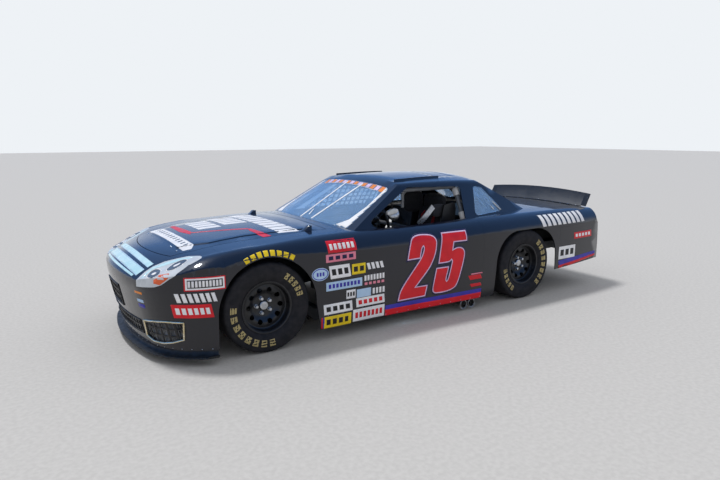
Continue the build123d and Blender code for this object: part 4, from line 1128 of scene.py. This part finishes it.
def padShape(name, size, place, turnY, material, crown=0.35):
    # A stuffed pad: a box whose middle swells and whose edges draw in
    work = bmesh.new()
    bmesh.ops.create_cube(work, size=2.0)
    bmesh.ops.subdivide_edges(work, edges=work.edges[:], cuts=6, use_grid_fill=True)
    for vert in work.verts:
        x, y, z = vert.co
        swell = 1 - crown * (1 - (1 - abs(x) ** 4) * (1 - abs(y) ** 4)) if abs(z) > 0.5 else 1 - crown / 2
        tuck = 1 - 0.10 * (abs(x) ** 6 * abs(y) ** 6)
        vert.co = Vector((x * tuck * size[0] / 2, y * tuck * size[1] / 2, z * swell * size[2] / 2))
    piece = newPiece(name, meshFrom(work, name), [material], None)
    soft = piece.modifiers.new("soft", "SUBSURF")
    soft.levels = 1
    piece.matrix_world = Matrix.Translation(place) @ Matrix.Rotation(turnY, 4, "Y")
    bpy.context.view_layer.update()
    bake(piece)
    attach(piece, "chassis")
    return piece


seatCloth = webbing("blackSeatCloth", "#1a1a1d", "#242428")
seatBase = Vector((frontX, 0.400, 0))
pads = {
    # size, place from the seat's middle on the ground, and turn in degrees
    "seat_pad": ((0.42, 0.40, 0.06), (-1.66, 0, 0.372), -3.0),
    "back_pad": ((0.55, 0.38, 0.055), (-1.962, 0, 0.66), 81.2),
    "head_rest_right": ((0.235, 0.045, 0.215), (-1.890, -0.172, 0.985), 0.0),
    "head_rest_left": ((0.170, 0.045, 0.120), (-1.925, 0.180, 0.925), 0.0),
    "head_rest_back": ((0.055, 0.300, 0.190), (-2.030, 0.0, 0.975), 0.0),
}
for name, (size, place, turn) in pads.items():
    padShape(name, size, seatBase + Vector(place), math.radians(turn), seatCloth)


def fromSeat(places):
    return [seatBase + Vector(place) for place in places]


size, middle, _ = pads["head_rest_right"]
edgeX, topZ = middle[0] + size[0] / 2 + 0.004, middle[2] + size[2] / 2
pipingPath = ((0, 0.165), (0, 0.035), (0.022, 0.008), (0.10, 0.0), (0.225, 0.006))     # back and down
piping = fromSeat((edgeX - back, middle[1], topZ - drop) for back, drop in pipingPath)
bakedCurve("head_rest_edging", [piping], 0, webPale, "chassis", flat=(0.045, 0.012))
bolster = fromSeat(((-1.66, 0.212, 0.815), (-1.74, 0.214, 0.885), (-1.83, 0.212, 0.972)))
bakedCurve("bolster_edge", [bolster], 0, zincSteel, "chassis", flat=(0.012, 0.055))
sleeve = {
    "x": -2.130, "footY": 0.735, "footZ": 0.800, "lean": 0.486, "radius": 0.033,
    "spans": ((0.815, 0.905), (1.060, 1.125)),     # low and high end of each
}
sleeves = []
for low, high in sleeve["spans"]:
    sleeves.append([
        (frontX + sleeve["x"], sleeve["footY"] - (z - sleeve["footZ"]) * sleeve["lean"], z)
        for z in (low, (low + high) / 2, high)
    ])
bakedCurve("cage_sleeves", sleeves, sleeve["radius"], webPale, "chassis", resolution=4)
beltPath = (
    (-2.020, 0.075, 0.900), (-1.955, 0.085, 0.850), (-1.900, 0.080, 0.640), (-1.840, 0.040, 0.470),
    (-1.780, 0.015, 0.425),
)
belts = [fromSeat((x, sign * y, z) for x, y, z in beltPath) for sign in side.values()]
bakedCurve("shoulder_belts", belts, 0, webRed, "chassis", flat=(0.003, 0.05))


def turnedPiece(name, profile, places, axis, material, body):
    # One profile of (radius, distance along the axis) turned at each place
    work = bmesh.new()
    turn = Vector((0, 1, 0)).rotation_difference(Vector(axis)).to_matrix().to_4x4()
    for place in places:
        known = len(work.verts)
        turnedRing(work, profile, (0, 0, 0), 1)
        work.verts.ensure_lookup_table()
        for vert in work.verts[known:]:
            vert.co = turn @ vert.co + Vector(place)
    bmesh.ops.recalc_face_normals(work, faces=work.faces[:])
    return newPiece(name, meshFrom(work, name, 35), [material], body)


gauge = {
    "profile": ((0.032, 0.0), (0.032, 0.018), (0.029, 0.022), (0.026, 0.020), (0.025, 0.012), (0.002, 0.012)),
    "x": -1.013, "z": 0.70, "first": 0.22, "pitch": 0.09, "count": 5,
}
across = [gauge["first"] + gauge["pitch"] * k for k in range(gauge["count"])]
gaugePlaces = [(frontX + gauge["x"], y, gauge["z"]) for y in across]
turnedPiece("gauges", gauge["profile"], gaugePlaces, (-1, 0, 0), zincSteel, "chassis")
hub = {
    "profile": (
        (0.066, 0.012), (0.066, 0.017), (0.063, 0.020), (0.048, 0.020), (0.045, 0.0175), (0.036, 0.0175),
        (0.033, 0.020), (0.0235, 0.020),
    ),
    "place": (frontX - 1.330, 0.400, 0.870), "axis": (0.936, 0, -0.352),
}
turnedPiece("wheel_hub_plate", hub["profile"], [hub["place"]], hub["axis"], zincSteel, "steering_wheel")

# Two mirrors on stalks from the cage's front leg
roundMirror = {
    "profile": (
        (0.060, 0.0), (0.060, 0.006), (0.057, 0.012), (0.046, 0.019), (0.028, 0.024), (0.008, 0.0255),
    ),
    "place": (frontX - 1.405, 0.566, 0.925), "axis": Vector((0.10, 0.97, 0.22)).normalized(),
}
turnedPiece(
    "round_mirror", roundMirror["profile"], [roundMirror["place"]], roundMirror["axis"], zincSteel, "chassis"
)
longMirror = {"size": (0.118, 0.034, 0.052), "place": (frontX - 1.300, 0.690, 0.966), "turn": 0.14}
longPlace = Vector(longMirror["place"])
padShape(
    "long_mirror", longMirror["size"], longPlace, longMirror["turn"], paleCoat, crown=0.5
)
stalk = {
    "radius": 0.006,
    "paths": (
        ((-1.405, 0.568, 0.928), (-1.372, 0.578, 1.020), (-1.331, 0.5956, 1.0788)),
        ((-1.290, 0.688, 0.966), (-1.220, 0.668, 0.970), (-1.155, 0.650, 0.970)),
    ),
}
stalks = [[(frontX + x, y, z) for x, y, z in path] for path in stalk["paths"]]
bakedCurve("mirror_stalks", stalks, stalk["radius"], blackMetal, "chassis")
print("cockpit")


# Exhaust tips: bright rolled ends

tip = {"xs": (-1.975, -2.075), "y": 0.9145, "z": 0.066, "radius": 0.0415, "lip": 0.0022}
turns = [2 * math.pi * k / 28 for k in range(29)]
lips = []
for x in tip["xs"]:
    middle = frontX + x
    ring = [(middle + tip["radius"] * math.cos(t), tip["z"] + tip["radius"] * math.sin(t)) for t in turns]
    lips.append([(u, tip["y"], w) for u, w in ring])
bakedCurve("exhaust_lips", lips, tip["lip"], zincSteel, "chassis")
print("exhaust")


# Camera, floor and light

view = {
    "place": (3.2537, 4.8299, 1.6323),
    "ahead": (-0.53123, -0.82848, -0.17723),
    "right": (-0.84173, 0.53990, -0.00082),
    "lens": 29.02,
    "sensor": 36.0,
    "far": 200,
}
camera = bpy.data.objects.new("camera", bpy.data.cameras.new("camera"))
scene.collection.objects.link(camera)
right = Vector(view["right"]).normalized()
back = -Vector(view["ahead"]).normalized()
up = back.cross(right).normalized()
camera.matrix_world = Matrix.Translation(view["place"]) @ Matrix((right, up, back)).transposed().to_4x4()
camera.data.lens = view["lens"]
camera.data.sensor_width = view["sensor"]
camera.data.clip_end = view["far"]
scene.camera = camera

ground = {"half": 60.0, "colour": "#c6c4c2", "fleck": "#bebcba"}
half = ground["half"]
floorMesh = bpy.data.meshes.new("floor")
floorMesh.from_pydata(
    [(-half, -half, 0), (half, -half, 0), (half, half, 0), (-half, half, 0)], [], [(0, 1, 2, 3)]
)
floorMaterial, tree, shader, coords = newMaterial("palePavement", Roughness=0.9, Specular_IOR_Level=0.2)
patchyColour(tree, coords, shader, 30 * mm, ground["colour"], ground["fleck"])
floor = newPiece("floor", floorMesh, [floorMaterial], None)

light = {
    "pale": "#eef1f6",
    "horizon": "#e4ecf7",
    "overhead": "#6c9de2",
    "fade": (0.02, 0.30),          # heights on the sky between which it turns from horizon to overhead
    "seen": "#eef2f6",
    "skyStrength": 0.68,
    "sunStrength": 1.9,
    "sunWay": (-0.184, 0.345, -0.92),
    "sunSize": 9,                  # degrees, a soft-edged shadow
}
world = bpy.data.worlds.new("pale")
scene.world = world
world.use_nodes = True
tree = world.node_tree
coords = addNode(tree, "ShaderNodeTexCoord")
parts = addNode(tree, "ShaderNodeSeparateXYZ", {0: coords.outputs["Generated"]})
low, high = light["fade"]
rise = addNode(tree, "ShaderNodeMapRange", {"From Min": low, "From Max": high, "Value": parts.outputs[2]})
sky = addNode(
    tree, "ShaderNodeMix",
    {"data_type": "RGBA", 0: rise, 6: srgb(light["horizon"]), 7: srgb(light["overhead"])},
)
plain = tree.nodes["Background"]
plain.inputs["Strength"].default_value = light["skyStrength"]
plain.inputs["Color"].default_value = srgb(light["pale"])
seen = addNode(tree, "ShaderNodeBackground", {"Color": srgb(light["seen"]), "Strength": 1.0})
reflected = addNode(tree, "ShaderNodeBackground", {"Strength": 1.0, "Color": sky.outputs[2]})
path = addNode(tree, "ShaderNodeLightPath").outputs
straight = addNode(
    tree, "ShaderNodeMath",
    {"operation": "MAXIMUM", 0: path["Is Camera Ray"], 1: path["Is Transmission Ray"]},
)
shine = addNode(tree, "ShaderNodeMixShader", {0: path["Is Glossy Ray"], 1: plain, 2: reflected})
mixer = addNode(tree, "ShaderNodeMixShader", {0: straight, 1: shine, 2: seen})
tree.links.new(mixer.outputs[0], tree.nodes["World Output"].inputs["Surface"])
sun = bpy.data.objects.new("sun", bpy.data.lights.new("sun", "SUN"))
scene.collection.objects.link(sun)
sun.data.energy = light["sunStrength"]
sun.data.angle = math.radians(light["sunSize"])
sun.rotation_euler = Vector(light["sunWay"]).to_track_quat("-Z", "Y").to_euler()
scene.view_settings.view_transform = "Standard"
print("camera, floor and light")
